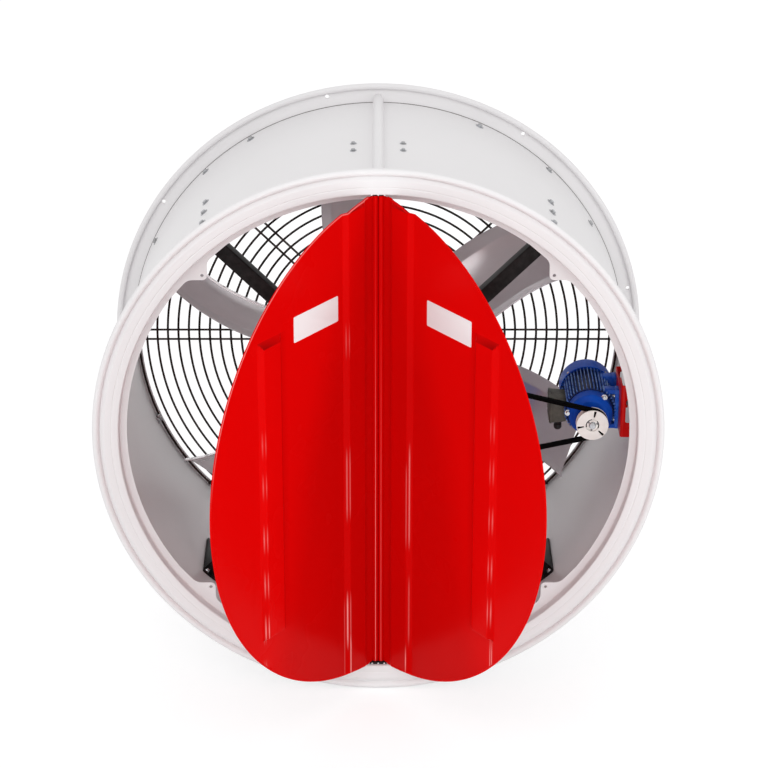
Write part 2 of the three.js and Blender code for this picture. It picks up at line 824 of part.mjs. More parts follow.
function fanPulley() {
  const front = beltMid - pulleyRimWidth / 2;
  const back = beltMid + pulleyRimWidth / 2;
  const bossFront = behind(shaftFront) + weldLap;
  const bore = around(shaftRadius, fit, pulleySides);
  const inside = fanPitchRadius - fanPulleyRim;
  const half = fanPulleyWeb / 2;
  const wheel = revolve([
    [bore, bossFront],
    [fanPulleyBossRadius, bossFront],
    [fanPulleyBossRadius, beltMid - half],
    [inside, beltMid - half],
    [inside, front],
    ...grooveProfile(fanPitchRadius),
    [inside, back],
    [inside, beltMid + half],
    [fanPulleyBossRadius, beltMid + half],
    [fanPulleyBossRadius, bossFront + fanPulleyBossWidth],
    [bore, bossFront + fanPulleyBossWidth],
  ], pulleySides);
  const holes = [];
  for (let i = 0; i < fanPulleyHoleCount; i += 1) {
    const drill = disc(fanPulleyHoleRadius, front - overrun, back + overrun, 8);
    drill.translate((inside + fanPulleyBossRadius) / 2, 0, 0).rotateY(i * fullTurn / fanPulleyHoleCount);
    holes.push(drill);
  }
  return cut(wheel, ...holes);
}

function motorPulley() {
  const front = beltMid - pulleyRimWidth / 2;
  const back = beltMid + pulleyRimWidth / 2;
  const bore = around(motorShaftRadius, fit, shaftSides);
  const wheel = revolve([[bore, front], ...grooveProfile(motorPitchRadius), [bore, back]], motorSides);
  const slots = [];
  for (let i = 0; i < motorPulleySlotCount; i += 1) {
    const half = motorPulleySlotWidth / 2;
    const turn = motorPulleyFirstSlot * degrees + i * fullTurn / motorPulleySlotCount;
    const slot = box(
      motorPulleySlotInner, motorPulleySlotOuter, front - overrun, front + motorPulleySlotDepth, -half, half,
    );
    slots.push(slot.rotateY(-turn));
  }
  return cut(wheel, ...slots);
}

// The belt: a loop of trapezoid sections, round both pulleys and straight between them
function vBelt() {
  const centres = [new THREE.Vector2(0, 0), new THREE.Vector2(motorX, motorZ)];
  const apart = centres[0].distanceTo(centres[1]);
  const lean = Math.atan2(motorZ, motorX);
  const open = Math.acos((fanPitchRadius - motorPitchRadius) / apart);
  const arcs = [
    [centres[0], fanPitchRadius, lean + open, fullTurn - 2 * open, beltBigSteps],
    [centres[1], motorPitchRadius, lean - open, 2 * open, beltSmallSteps],
  ];
  const sections = [];
  for (const [centre, radius, from, turn, steps] of arcs) {
    for (let step = 0; step <= steps; step += 1) {
      const angle = from + turn * step / steps;
      const at = (distance, y) => new THREE.Vector3(
        centre.x + distance * Math.cos(angle), y, centre.y + distance * Math.sin(angle),
      );
      const top = radius + beltPitchDrop;
      const halfTop = beltWidth / 2;
      const halfFloor = halfTop - beltTaper;
      sections.push([
        at(top, beltMid - halfTop),
        at(top, beltMid + halfTop),
        at(top - beltHeight, beltMid + halfFloor),
        at(top - beltHeight, beltMid - halfFloor),
      ]);
    }
  }
  return skin(sections, true);
}

piece('fan_pulley', fanPulley(), castGrey);
piece('v_belt', vBelt(), beltRubber);

// Motor: its own group on the motor axis, so its pieces are written about their own centre
const motor = new THREE.Group();
motor.position.set(motorX, 0, motorZ);
fan.add(motor);

function motorFrame() {
  const shape = new THREE.Shape();
  for (let i = 0; i < frameFinCount; i += 1) {
    const pitch = fullTurn / frameFinCount;
    const wide = pitch * frameFinShare / 2;
    const narrow = wide * frameCoreRadius / frameFinRadius;
    const middle = i * pitch;
    const marks = [
      [frameCoreRadius, middle - wide],
      [frameFinRadius, middle - narrow],
      [frameFinRadius, middle + narrow],
      [frameCoreRadius, middle + wide],
    ];
    for (const [radius, angle] of marks) {
      const point = [radius * Math.cos(angle), radius * Math.sin(angle)];
      const first = i === 0 && angle === marks[0][1];
      if (first) shape.moveTo(...point);
      else shape.lineTo(...point);
    }
  }
  const hole = new THREE.Path();
  hole.absarc(0, 0, frameBore, 0, fullTurn, true);
  shape.holes.push(hole);
  const body = plate(shape, behind(frameFront), behind(frameRear), shaftSides / 2);
  const half = motorFootWidth / 2;
  const footIn = motorShaftHeight - motorFootThickness;
  const rearStart = frameRear - cowlLap - fit - motorFootLength;
  const feet = [[frameFront + motorFootInset, motorFootFrontWeb], [rearStart, motorFootRearWeb]];
  const parts = feet.flatMap(([start, web]) => {
    const front = behind(start);
    const back = front + motorFootLength;
    const webs = [[half - web, half], [-half, web - half]].map(([z0, z1]) => (
      box(frameCoreRadius / 2, footIn + weldLap, front, back, z0, z1)
    ));
    return [box(footIn, motorShaftHeight, front, back, -half, half), ...webs];
  });
  const boxFront = behind(terminalBoxFront);
  const boxBack = boxFront + terminalBoxLength;
  const room = box(
    -cowlRadius, -frameCoreRadius, boxFront - terminalPadInset, boxBack + terminalPadInset,
    -terminalBoxBottom - terminalPadInset, terminalBoxTop + terminalPadInset,
  );
  const pad = box(
    -terminalBoxIn + fit, -frameCoreRadius + terminalPadRoot,
    boxFront + terminalPadInset, boxBack - terminalPadInset,
    -terminalBoxBottom + terminalPadInset, terminalBoxTop - terminalPadInset,
  );
  return join(cut(body, room), ...parts, pad);
}

// Front end shield: nose round the shaft, shoulder, and three lugs for its bolts
function frontShield() {
  const bore = around(motorShaftRadius, runningFit, shaftSides);
  const back = behind(frameFront) - fit;
  const shell = revolve([
    [bore, behind(shieldFront)],
    [shieldNoseRadius, behind(shieldFront)],
    [shieldNoseRadius, behind(shieldFront + shieldNoseLength)],
    [shieldRadius - shieldShoulder / 2, behind(shieldFront + shieldNoseLength)],
    [shieldRadius, behind(shieldFront + shieldShoulder)],
    [shieldRadius, back],
    [bore, back],
  ], motorSides);
  const lugs = [];
  for (let i = 0; i < lugCount; i += 1) {
    const lug = disc(lugRadius, back - shieldShoulder, back, 8);
    const turn = firstLugAngle * degrees + i * fullTurn / lugCount;
    lugs.push(lug.translate(lugReach - lugRadius, 0, 0).rotateY(-turn));
  }
  return join(shell, ...lugs);
}

function rearShield() {
  const bore = around(motorShaftRadius, runningFit, shaftSides);
  const front = behind(frameRear) + fit;
  return ring(bore, frameFinRadius, front, front + rearShieldWidth, motorSides);
}

// Fan cowl: a pressed cup over the rear shield, with radial slots in its end
function cowl() {
  const inside = around(frameFinRadius, fit, motorSides);
  const wall = cowlRadius - inside;
  const front = behind(frameRear - cowlLap);
  const back = behind(cowlRear);
  const cup = revolve([
    [inside, front],
    [cowlRadius, front],
    [cowlRadius, back - shieldNoseLength / 2],
    [cowlRadius - shieldNoseLength / 2, back],
    [0, back],
    [0, back - wall],
    [inside - shieldNoseLength / 2, back - wall],
    [inside, back - wall - shieldNoseLength / 2],
  ].reverse(), motorSides);
  const slots = [];
  for (let i = 0; i < cowlSlotCount; i += 1) {
    const half = cowlSlotWidth / 2;
    const slot = box(cowlSlotInner, cowlSlotOuter, back - wall - overrun, back + overrun, -half, half);
    slots.push(slot.rotateY((i + 0.5) * fullTurn / cowlSlotCount));
  }
  return cut(cup, ...slots);
}

function coolingFan() {
  const front = behind(frameRear) + fit + rearShieldWidth + coolingFanClearance;
  const back = front + coolingFanWidth;
  const bore = around(motorShaftRadius, fit, shaftSides);
  const core = ring(bore, coolingFanHub, front, back, shaftSides);
  const web = ring(bore, coolingFanRadius, front, front + coolingFanBlade, motorSides);
  const vanes = [];
  for (let i = 0; i < coolingFanBlades; i += 1) {
    const half = coolingFanBlade / 2;
    const vane = box(coolingFanHub - weldLap, coolingFanRadius - weldLap, front, back, -half, half);
    vanes.push(vane.rotateY(i * fullTurn / coolingFanBlades));
  }
  return join(core, web, ...vanes);
}

function terminalBox() {
  const front = behind(terminalBoxFront);
  const lid = terminalLidThickness + fit;
  return box(
    -terminalBoxOut + lid, -terminalBoxIn, front, front + terminalBoxLength,
    -terminalBoxBottom, terminalBoxTop,
  );
}

function terminalLid() {
  const front = behind(terminalBoxFront) - terminalLidLip;
  const back = front + terminalBoxLength + 2 * terminalLidLip;
  const bottom = -terminalBoxBottom - terminalLidLip;
  const top = terminalBoxTop + terminalLidLip;
  const outer = -terminalBoxOut;
  const inner = outer + terminalLidThickness;
  const step = terminalLidLip * 2;
  const loop = (x, inset) => [
    new THREE.Vector3(x, front + inset, bottom + inset),
    new THREE.Vector3(x, back - inset, bottom + inset),
    new THREE.Vector3(x, back - inset, top - inset),
    new THREE.Vector3(x, front + inset, top - inset),
  ];
  return skin([loop(outer, step), loop(outer + step, 0), loop(inner, 0)], false, [[0, 1, 2], [0, 2, 3]]);
}

// Cable gland under the box: hexagon body, thread and domed nut
function cableGland() {
  const body = revolve([
    [0, 0],
    [glandNutRadius, 0],
    [glandNutRadius, glandNutHeight / 2],
    [glandRadius, glandNutHeight / 2],
    [glandRadius, glandNutHeight],
    [glandNutRadius, glandNutHeight],
    [glandNutRadius, glandLength - glandNutHeight / 2],
    [glandRadius, glandLength],
    [glandRadius / 2, glandLength],
    [glandRadius / 2, glandNutHeight],
    [0, glandNutHeight],
  ].reverse(), 6);
  body.rotateX(-Math.PI / 2);
  return body.translate(-glandPlace, behind(glandDepth), -terminalBoxBottom - fit);
}

piece('motor_housing', motorFrame(), bluePaint, motor);
piece('motor_front_shield', frontShield(), bluePaint, motor);
piece('motor_rear_shield', rearShield(), bluePaint, motor);
piece('motor_cowl', cowl(), bluePaint, motor);
piece('motor_cooling_fan', coolingFan(), glandPlastic, motor);
const shaftBack = behind(cowlRear) - overrun;
piece('motor_shaft', disc(motorShaftRadius, behind(motorShaftEnd), shaftBack, shaftSides), plainSteel, motor);
piece('motor_pulley', motorPulley(), pulleyAlloy, motor);
piece('terminal_box', terminalBox(), boxGrey, motor);
piece('terminal_box_lid', terminalLid(), boxGrey, motor);
piece('cable_gland', cableGland(), glandPlastic, motor);

// Motor bracket: a folded plate under the motor's feet, with flanges and feet to the drum wall
function motorBracket() {
  const face = drumInner - bracketDepth;
  const front = behind(bracketFront);
  const back = front + bracketLength;
  const wall = drumInner + overrun;
  const base = box(face, face + bracketSteel, front, back, -bracketBottom, bracketRearTop);
  const shoulder = box(face, face + bracketSteel, front, front + bracketShoulder, 0, bracketTop);
  const seat = ring(drumInner - bracketSteel, drumInner + overrun, front, back, drumSides);
  const ends = [
    [front, front + bracketSteel, front + bracketFootWidth, bracketTop],
    [back - bracketSteel, back, back - bracketFootWidth, bracketRearTop],
  ];
  const sides = ends.flatMap(([y0, y1, footEnd, top]) => [
    box(face, wall, y0, y1, -bracketBottom, top),
    common(seat, box(face, wall, Math.min(y0, footEnd), Math.max(y1, footEnd), -bracketBottom, top)),
  ]);
  const middle = (bracketTop - bracketBottom) / 2;
  const window = box(
    face + bracketWindowInset, drumInner - bracketWindowInset, front - overrun, back + overrun,
    middle - bracketWindowHeight / 2, middle + bracketWindowHeight / 2,
  );
  return common(cut(join(base, shoulder, ...sides), window), drumBore);
}

piece('motor_bracket', motorBracket(), redPaint);

// Guard: rings that lie inside the drum against the flange's lip, with pairs of spokes across their front
const ringBack = -rearSheet - fit;
const ringFront = ringBack - wire;
const spokeBack = ringFront - fit;
const spokeFront = spokeBack - wire;

function guardRing(radius, sides) {
  const half = wire / 2;
  return ring(radius - half, radius + half, ringFront, ringBack, sides);
}

// A pair of spokes made of one wire, bent round at its inner end
function spokePair(back) {
  const inside = spokeSpacing / 2 - wire / 2;
  const outside = spokeSpacing / 2 + wire / 2;
  const shape = outline([
    [spokeInner, -outside], [spokeOuter, -outside], [spokeOuter, -inside], [spokeInner + wire, -inside],
    [spokeInner + wire, inside], [spokeOuter, inside], [spokeOuter, outside], [spokeInner, outside],
  ]);
  return plate(shape, spokeFront, back);
}

function guardRings() {
  const rings = [guardRing(guardRimRadius, guardSidesRim)];
  for (let i = 0; i < guardRingCount; i += 1) {
    const radius = guardFirstRing + i * guardPitch;
    rings.push(guardRing(radius, radius < guardFineRadius ? guardSidesInner : guardSidesOuter));
  }
  const backbone = spokePair(ringFront + wire / 2).rotateY(Math.PI / 2);
  return join(backbone, ...rings);
}

// Clip on the drum's inner wall, with a finger that holds the guard's rim ring against the lip
function guardClip() {
  const outer = drumInner - fit - Math.tan(Math.PI / drumSides) * clipWidth / 2;
  const inner = outer - clipSteel;
  const fingerFront = spokeBack - clipSteel;
  const shape = outline([
    [inner - clipReach, spokeBack], [outer, spokeBack], [outer, fingerFront - clipFoot],
    [inner, fingerFront - clipFoot], [inner, fingerFront], [inner - clipReach, fingerFront],
  ]);
  const geometry = new THREE.ExtrudeGeometry(shape, { depth: clipWidth, bevelEnabled: false });
  return geometry.translate(0, 0, -clipWidth / 2);
}

piece('guard_rings', guardRings(), darkChrome);
for (let i = 1; i < spokeCount; i += 1) {
  const mesh = piece(`guard_spokes_${i}`, spokePair(spokeBack), darkChrome);
  mesh.rotation.y = Math.PI / 2 + i * fullTurn / spokeCount;
}
for (let i = 0; i < spokeCount; i += 1) {
  const mesh = piece(`guard_clip_${i + 1}`, guardClip(), plainSteel);
  mesh.rotation.y = (i + 0.5) * fullTurn / spokeCount;
}

export default fan;
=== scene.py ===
import math

import bmesh
import bpy
from mathutils import Matrix, Vector
from mathutils.geometry import tessellate_polygon


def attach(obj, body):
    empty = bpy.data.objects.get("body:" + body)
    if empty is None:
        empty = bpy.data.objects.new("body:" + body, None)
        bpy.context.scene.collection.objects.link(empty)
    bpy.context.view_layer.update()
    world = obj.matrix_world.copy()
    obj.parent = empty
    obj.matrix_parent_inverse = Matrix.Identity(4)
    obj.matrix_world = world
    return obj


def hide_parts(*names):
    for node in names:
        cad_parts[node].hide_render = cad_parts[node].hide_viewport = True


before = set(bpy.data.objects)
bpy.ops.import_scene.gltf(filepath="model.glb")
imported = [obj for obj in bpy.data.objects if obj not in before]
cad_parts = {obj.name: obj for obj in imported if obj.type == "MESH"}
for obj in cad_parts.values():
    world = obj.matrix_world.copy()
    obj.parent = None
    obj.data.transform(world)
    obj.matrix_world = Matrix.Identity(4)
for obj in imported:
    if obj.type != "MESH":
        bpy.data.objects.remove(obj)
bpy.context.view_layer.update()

MM = 0.001
FULL = 2 * math.pi
MERGE = 0.002  # corners nearer than this become one
SIDES = 192  # of the round parts as wide as the drum

# Places along the drum axis, measured back from the drum's front plane
DRUM_DEPTH = 745
BELT = 122
SHIELD_FRONT = 150
FRAME_FRONT = 208
FRAME_REAR = 349
COWL_REAR = 400
HOUSING_FRONT = 160
HOUSING_REAR = 400
BRACE = 217
BRACE_BOLTS = (230, 310, 390)
IMPELLER = 530
SHAFT_FRONT = 98
SHAFT_REAR = 636

# Radii from the drum axis
DRUM = 719
DRUM_INNER = 716
FRONT_RING = 774.4
REAR_FLANGE = 772.3
RECESS = 702
LIP = 682
LEAF = 697.5
HUB = 150
BLADE_ROOT = 150.6
BLADE_TIP = 635

# Motor, seen from the outlet: centre of its shaft
MOTOR_X = 588
MOTOR_Z = -8


def behind(depth):
    """Y of a place so far behind the drum's front plane."""
    return depth - DRUM_DEPTH


def turned(degrees, about="Y"):
    return Matrix.Rotation(math.radians(degrees), 4, about)


def moved(x, y, z):
    return Matrix.Translation((x, y, z))


def on_drum(azimuth, radius, depth):
    """Frame of a place on the drum: its X points outward, its Y back along the drum."""
    return turned(-azimuth) @ moved(radius, behind(depth), 0)


def on_motor(degrees=0):
    """Frame of the motor's shaft, turned about it."""
    return moved(MOTOR_X, 0, MOTOR_Z) @ turned(degrees)


# A quarter turn brings the Y axis to X, and the X axis to the front. A half turn brings X inward.
QUARTER_TURN = turned(-90, "Z")
HALF_TURN = turned(180, "Z")


# Mesh tools


def add_rows(form, rows, place=Matrix(), closed_rows=False, closed_loop=True):
    """Skins a row of equal loops. Where the rows are open, a flat cap closes each end."""
    grid = [[form.verts.new(place @ Vector(point)) for point in row] for row in rows]
    count = len(rows[0])
    row_pairs = len(rows) if closed_rows else len(rows) - 1
    steps = count if closed_loop else count - 1
    for r in range(row_pairs):
        near, far = grid[r], grid[(r + 1) % len(rows)]
        for i in range(steps):
            j = (i + 1) % count
            form.faces.new((near[i], near[j], far[j], far[i]))
    if closed_loop and not closed_rows:
        form.faces.new(list(reversed(grid[0])))
        form.faces.new(grid[-1])
    return grid


def add_revolve(form, profile, sides=SIDES, place=Matrix()):
    """Turns a closed profile of (radius, y) pairs about the Y axis. A profile may start and end on the axis."""
    rows = []
    for i in range(sides):
        angle = FULL * i / sides
        rows.append([(r * math.cos(angle), y, r * math.sin(angle)) for r, y in profile])
    on_axis = profile[0][0] == 0
    add_rows(form, rows, place, closed_rows=True, closed_loop=not on_axis)


def rod_profile(radius, front, back, edge):
    """Profile of a rod with a chamfer at each end."""
    inner = radius - edge
    return [(0, front), (inner, front), (radius, front + edge), (radius, back - edge), (inner, back), (0, back)]


def add_prism(form, outline, front, back, place=Matrix(), holes=()):
    """Extrudes an outline of (x, z) pairs along Y, with through holes."""
    loops = [outline, *holes]
    near = [[form.verts.new(place @ Vector((x, front, z))) for x, z in loop] for loop in loops]
    far = [[form.verts.new(place @ Vector((x, back, z))) for x, z in loop] for loop in loops]
    for a, b in zip(near, far):
        for i in range(len(a)):
            j = (i + 1) % len(a)
            form.faces.new((a[i], a[j], b[j], b[i]))
    if not holes:
        form.faces.new(list(reversed(near[0])))
        form.faces.new(far[0])
        return
    flat = [[Vector((x, z, 0)) for x, z in loop] for loop in loops]
    near_all = [vertex for loop in near for vertex in loop]
    far_all = [vertex for loop in far for vertex in loop]
    for a, b, c in tessellate_polygon(flat):
        form.faces.new((near_all[c], near_all[b], near_all[a]))
        form.faces.new((far_all[a], far_all[b], far_all[c]))


def add_block(form, x0, x1, y0, y1, z0, z1, place=Matrix()):
    add_prism(form, [(x0, z0), (x1, z0), (x1, z1), (x0, z1)], y0, y1, place)


def add_upright(form, outline, low, high, place=Matrix()):
    """Extrudes an outline of (x, y) pairs along Z."""
    add_rows(form, [[(x, y, z) for x, y in outline] for z in (low, high)], place)


def add_sweep(form, path, section, closed=False, place=Matrix()):
    """Carries a section of (side, y) pairs along a path that lies square to the Y axis."""
    axis = Vector((0, 1, 0))
    points = [Vector(point) for point in path]
    rows = []
    for i, point in enumerate(points):
        before = points[i - 1] if closed or i > 0 else point
        after = points[(i + 1) % len(points)] if closed or i < len(points) - 1 else point
        side = (after - before).normalized().cross(axis).normalized()
        rows.append([point + side * a + axis * b for a, b in section])
    add_rows(form, rows, place, closed_rows=closed)


def circle(radius, sides=8, x=0, z=0, start=0.0):
    steps = [start + FULL * i / sides for i in range(sides)]
    return [(x + radius * math.cos(a), z + radius * math.sin(a)) for a in steps]


def arc(radius, start, end, steps, x=0, z=0):
    """Points on an arc between two angles in degrees."""
    angles = [math.radians(start + (end - start) * i / steps) for i in range(steps + 1)]
    return [(x + radius * math.cos(a), z + radius * math.sin(a)) for a in angles]


def rounded(points, radius, steps, closed=True):
    """Rounds the corners of an outline. The radius is one number, or one for each corner."""
    radii = radius if isinstance(radius, (list, tuple)) else [radius] * len(points)
    result = []
    for i, point in enumerate(points):
        ends = not closed and i in (0, len(points) - 1)
        if ends or radii[i] <= 0:
            result.append(tuple(point))
            continue
        corner = Vector(point)
        to_last = Vector(points[i - 1]) - corner
        to_next = Vector(points[(i + 1) % len(points)]) - corner
        turn = to_last.angle(to_next)
        if turn < 0.02 or turn > math.pi - 0.02:
            result.append(tuple(point))
            continue
        room = min(radii[i] / math.tan(turn / 2), to_last.length * 0.49, to_next.length * 0.49)
        start = corner + to_last.normalized() * room
        end = corner + to_next.normalized() * room
        for step in range(steps + 1):
            t = step / steps
            result.append(tuple(start.lerp(corner, t).lerp(corner.lerp(end, t), t)))
    return result


def sharp_edges(form, degrees):
    limit = math.radians(degrees)
    return [e for e in form.edges if len(e.link_faces) == 2 and e.calc_face_angle() > limit]


def clean(form):
    bmesh.ops.remove_doubles(form, verts=form.verts, dist=MERGE)
    bmesh.ops.dissolve_degenerate(form, edges=form.edges, dist=MERGE)
    bmesh.ops.recalc_face_normals(form, faces=form.faces)


def mesh_from(form, name, smooth):
    """A smooth-shaded mesh in metres. Edges sharper than smooth, in degrees, stay crisp."""
    bmesh.ops.scale(form, verts=form.verts, vec=(MM, MM, MM))
    mesh = bpy.data.meshes.new(name)
    form.to_mesh(mesh)
    form.free()
    mesh.shade_smooth()
    mesh.set_sharp_from_angle(angle=math.radians(smooth))
    return mesh


def new_object(name, data):
    made = bpy.data.objects.new(name, data)
    bpy.context.scene.collection.objects.link(made)
    return made


def piece(name, form, material, body, nodes=(), bevel=0.0, smooth=38, carve=None):
    """Makes a piece of the object from a form, cuts it, rounds its edges and puts it on its body.

    It stands for the given nodes.
    """
    clean(form)
    if carve:
        form = carved(form, carve)
    if bevel:
        bmesh.ops.bevel(
            form, geom=sharp_edges(form, 30), offset=bevel, segments=2, profile=0.5, affect="EDGES",
            clamp_overlap=True,
        )
    made = new_object(name, mesh_from(form, name, smooth))
    made.data.materials.append(material)
    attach(made, body)
    if nodes:
        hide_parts(*nodes)


def carved(form, tool):
    """The form with the tool's form cut out of it."""
    parts = []
    for label, part in (("whole", form), ("tool", tool)):
        clean(part)
        mesh = bpy.data.meshes.new(label)
        part.to_mesh(mesh)
        part.free()
        parts.append(new_object(label, mesh))
    whole, cutter = parts
    cut = whole.modifiers.new("cut", "BOOLEAN")
    cut.operation, cut.object, cut.solver = "DIFFERENCE", cutter, "EXACT"
    cut.use_self = True
    bpy.context.view_layer.update()
    result = bmesh.new()
    result.from_object(whole, bpy.context.evaluated_depsgraph_get())
    for holder in parts:
        mesh = holder.data
        bpy.data.objects.remove(holder)
        bpy.data.meshes.remove(mesh)
    clean(result)
    return result


# Fasteners


def add_washer(form, place, radius, thickness):
    edge = min(0.4, thickness / 3)
    profile = [(0, 0), (radius, 0), (radius, thickness - edge), (radius - edge, thickness), (0, thickness)]
    add_revolve(form, profile, 24, place @ QUARTER_TURN)


def add_hex_head(form, place, flats, height, lift=0.0):
    """A hexagon head whose axis is the place's X, with a round crown."""
    outer = flats / 2 / math.cos(math.pi / 6)
    shoulder = lift + height * 0.82
    for sides, levels in (
        (6, [(lift, outer * 0.985), (lift + height * 0.12, outer), (shoulder, outer)]),
        (24, [(shoulder, outer * 0.93), (lift + height, outer * 0.8)]),
    ):
        add_rows(form, [[(x, *spot) for spot in circle(radius, sides)] for x, radius in levels], place)


def add_stud(form, place, radius, start, length):
    """The threaded end of a bolt."""
    profile = [(0, start - 1), (radius, start - 1)]
    pitch = 1.5
    y = start
    while y < start + length - pitch:
        profile += [(radius, y), (radius * 0.86, y + pitch / 2)]
        y += pitch
    profile += [(radius * 0.8, start + length), (0, start + length)]
    add_revolve(form, profile, 16, place @ QUARTER_TURN)


def add_bolt(form, place, flats=13, height=5.5, washer=True, thread=0.0):
    """A hexagon bolt or nut on its washer, standing on the place's X = 0 plane. It may show some thread."""
    lift = 1.5 if washer else 0.0
    if washer:
        add_washer(form, place, flats * 0.9, lift)
    add_hex_head(form, place, flats, height, lift)
    if thread:
        add_stud(form, place, flats * 0.3, lift + height, thread)


def add_pan_head(form, place, radius, height):
    """A round screw head with a raised cross."""
    shares = [(0, 0), (1, 0), (0.98, 0.35), (0.8, 0.8), (0.45, 1), (0, 1.02)]
    add_revolve(form, [(radius * a, height * b) for a, b in shares], 24, place @ QUARTER_TURN)
    arm, half = radius * 0.45, radius * 0.09
    for turn in (0, 90):
        add_block(form, height * 0.97, height * 1.08, -arm, arm, -half, half, place @ turned(turn, "X"))


# Finishes


def srgb(red, green, blue):
    """Linear colour of a painted sample given in 0 to 255 steps."""
    steps = [value / 255 for value in (red, green, blue)]
    return (*[s / 12.92 if s <= 0.04045 else ((s + 0.055) / 1.055) ** 2.4 for s in steps], 1.0)


def new_group(name, inputs, outputs):
    group = bpy.data.node_groups.new(name, "ShaderNodeTree")
    for label, kind, value in inputs:
        socket = group.interface.new_socket(name=label, in_out="INPUT", socket_type="NodeSocket" + kind)
        socket.default_value = value
    for label, kind in outputs:
        group.interface.new_socket(name=label, in_out="OUTPUT", socket_type="NodeSocket" + kind)
    return group, group.nodes.new("NodeGroupInput"), group.nodes.new("NodeGroupOutput")


def connect(tree, *wires):
    """Links nodes. A wire is (source, its output, target, its input)."""
    for source, output, target, entry in wires:
        tree.links.new(source.outputs[output], target.inputs[entry])


def add_node(tree, kind, **values):
    """A shader node with plain values on its inputs. A _ in a keyword stands for a space."""
    node = tree.nodes.new("ShaderNode" + kind)
    for label, value in values.items():
        node.inputs[label.replace("_", " ")].default_value = value
    return node


def add_group(tree, group, **values):
    node = tree.nodes.new("ShaderNodeGroup")
    node.node_tree = group
    for label, value in values.items():
        node.inputs[label.replace("_", " ")].default_value = value
    return node


def add_range(tree, low, high, start=0.0, end=1.0):
    return add_node(tree, "MapRange", From_Min=low, From_Max=high, To_Min=start, To_Max=end)


def add_mix(tree):
    node = tree.nodes.new("ShaderNodeMix")
    node.data_type = "RGBA"
    return node


def add_math(tree, operation, value=None):
    node = tree.nodes.new("ShaderNodeMath")
    node.operation = operation
    if value is not None:
        node.inputs[1].default_value = value
    return node


def add_noise(tree, detail, roughness):
    node = add_node(tree, "TexNoise", Detail=detail, Roughness=roughness)
    connect(tree, (add_node(tree, "TexCoord"), "Object", node, "Vector"))
    return node


def add_bump(tree, height, distance, under=None):
    bump = add_node(tree, "Bump", Strength=1.0, Distance=distance)
    tree.links.new(height, bump.inputs["Height"])
    if under:
        tree.links.new(under, bump.inputs["Normal"])
    return bump.outputs["Normal"]


def scaled(tree, mask, share):
    """A mask times a plain share. Masks and colours are output sockets."""
    node = add_math(tree, "MULTIPLY", share)
    tree.links.new(mask, node.inputs[0])
    return node.outputs["Value"]


def laid_over(tree, colour, mask, over):
    """A colour with another one laid over it where the mask is."""
    mix = add_mix(tree)
    mix.inputs["B"].default_value = srgb(*over)
    tree.links.new(mask, mix.inputs["Factor"])
    tree.links.new(colour, mix.inputs["A"])
    return mix.outputs["Result"]


def make_tone_group():
    """Slow change of tone over a surface: two colours in soft patches."""
    white = (1, 1, 1, 1)
    group, start, end = new_group(
        "tone patches",
        [("Colour", "Color", white), ("Second colour", "Color", white), ("Size", "Float", 3.0)],
        [("Colour", "Color"), ("Patches", "Float")],
    )
    noise, spread, mix = add_noise(group, 4, 0.55), add_range(group, 0.36, 0.64), add_mix(group)
    connect(
        group, (start, "Size", noise, "Scale"), (noise, "Fac", spread, "Value"), (start, "Colour", mix, "A"),
        (spread, "Result", mix, "Factor"), (start, "Second colour", mix, "B"), (mix, "Result", end, "Colour"),
        (spread, "Result", end, "Patches"),
    )
    return group


def make_relief_group():
    """Fine height of a sprayed or cast skin: a soft peel under a finer grain."""
    group, start, end = new_group(
        "surface relief",
        [("Peel", "Float", 300.0), ("Grain", "Float", 1200.0), ("Grain share", "Float", 0.3)],
        [("Height", "Float")],
    )
    peel, grain = add_noise(group, 2, 0.4), add_noise(group, 3, 0.6)
    share, total = add_math(group, "MULTIPLY"), add_math(group, "ADD")
    connect(
        group, (start, "Peel", peel, "Scale"), (start, "Grain", grain, "Scale"), (grain, "Fac", share, 0),
        (start, "Grain share", share, 1), (peel, "Fac", total, 0), (share, "Value", total, 1),
        (total, "Value", end, "Height"),
    )
    return group


def make_edge_group():
    """Mask of a surface's outer edges, broken up by noise, for worn edges and for painted highlights on edges.
    """
    group, start, end = new_group(
        "edge wear", [("Width", "Float", 0.1), ("Break size", "Float", 60.0)], [("Mask", "Float")],
    )
    geometry, noise = add_node(group, "NewGeometry"), add_noise(group, 4, 0.6)
    breaks, above = add_range(group, 0.35, 0.7), add_math(group, "SUBTRACT", 0.5)
    steep, mask = add_math(group, "DIVIDE"), add_math(group, "MULTIPLY")
    mask.use_clamp = True
    connect(
        group, (geometry, "Pointiness", above, 0), (above, "Value", steep, 0), (start, "Width", steep, 1),
        (start, "Break size", noise, "Scale"), (noise, "Fac", breaks, "Value"), (steep, "Value", mask, 0),
        (breaks, "Result", mask, 1), (mask, "Value", end, "Mask"),
    )
    return group


def make_brush_group():
    """Fine lines left by brushing or turning, drawn out along one direction."""
    group, start, end = new_group(
        "brush lines", [("Stretch", "Vector", (1, 1, 1)), ("Size", "Float", 40.0)], [("Lines", "Float")],
    )
    place, mapping = add_node(group, "TexCoord"), add_node(group, "Mapping")
    noise = add_node(group, "TexNoise", Detail=5)
    connect(
        group, (place, "Object", mapping, "Vector"), (start, "Stretch", mapping, "Scale"),
        (mapping, "Vector", noise, "Vector"), (start, "Size", noise, "Scale"), (noise, "Fac", end, "Lines"),
    )
    return group


TONE = make_tone_group()
RELIEF = make_relief_group()
EDGES = make_edge_group()
BRUSH = make_brush_group()


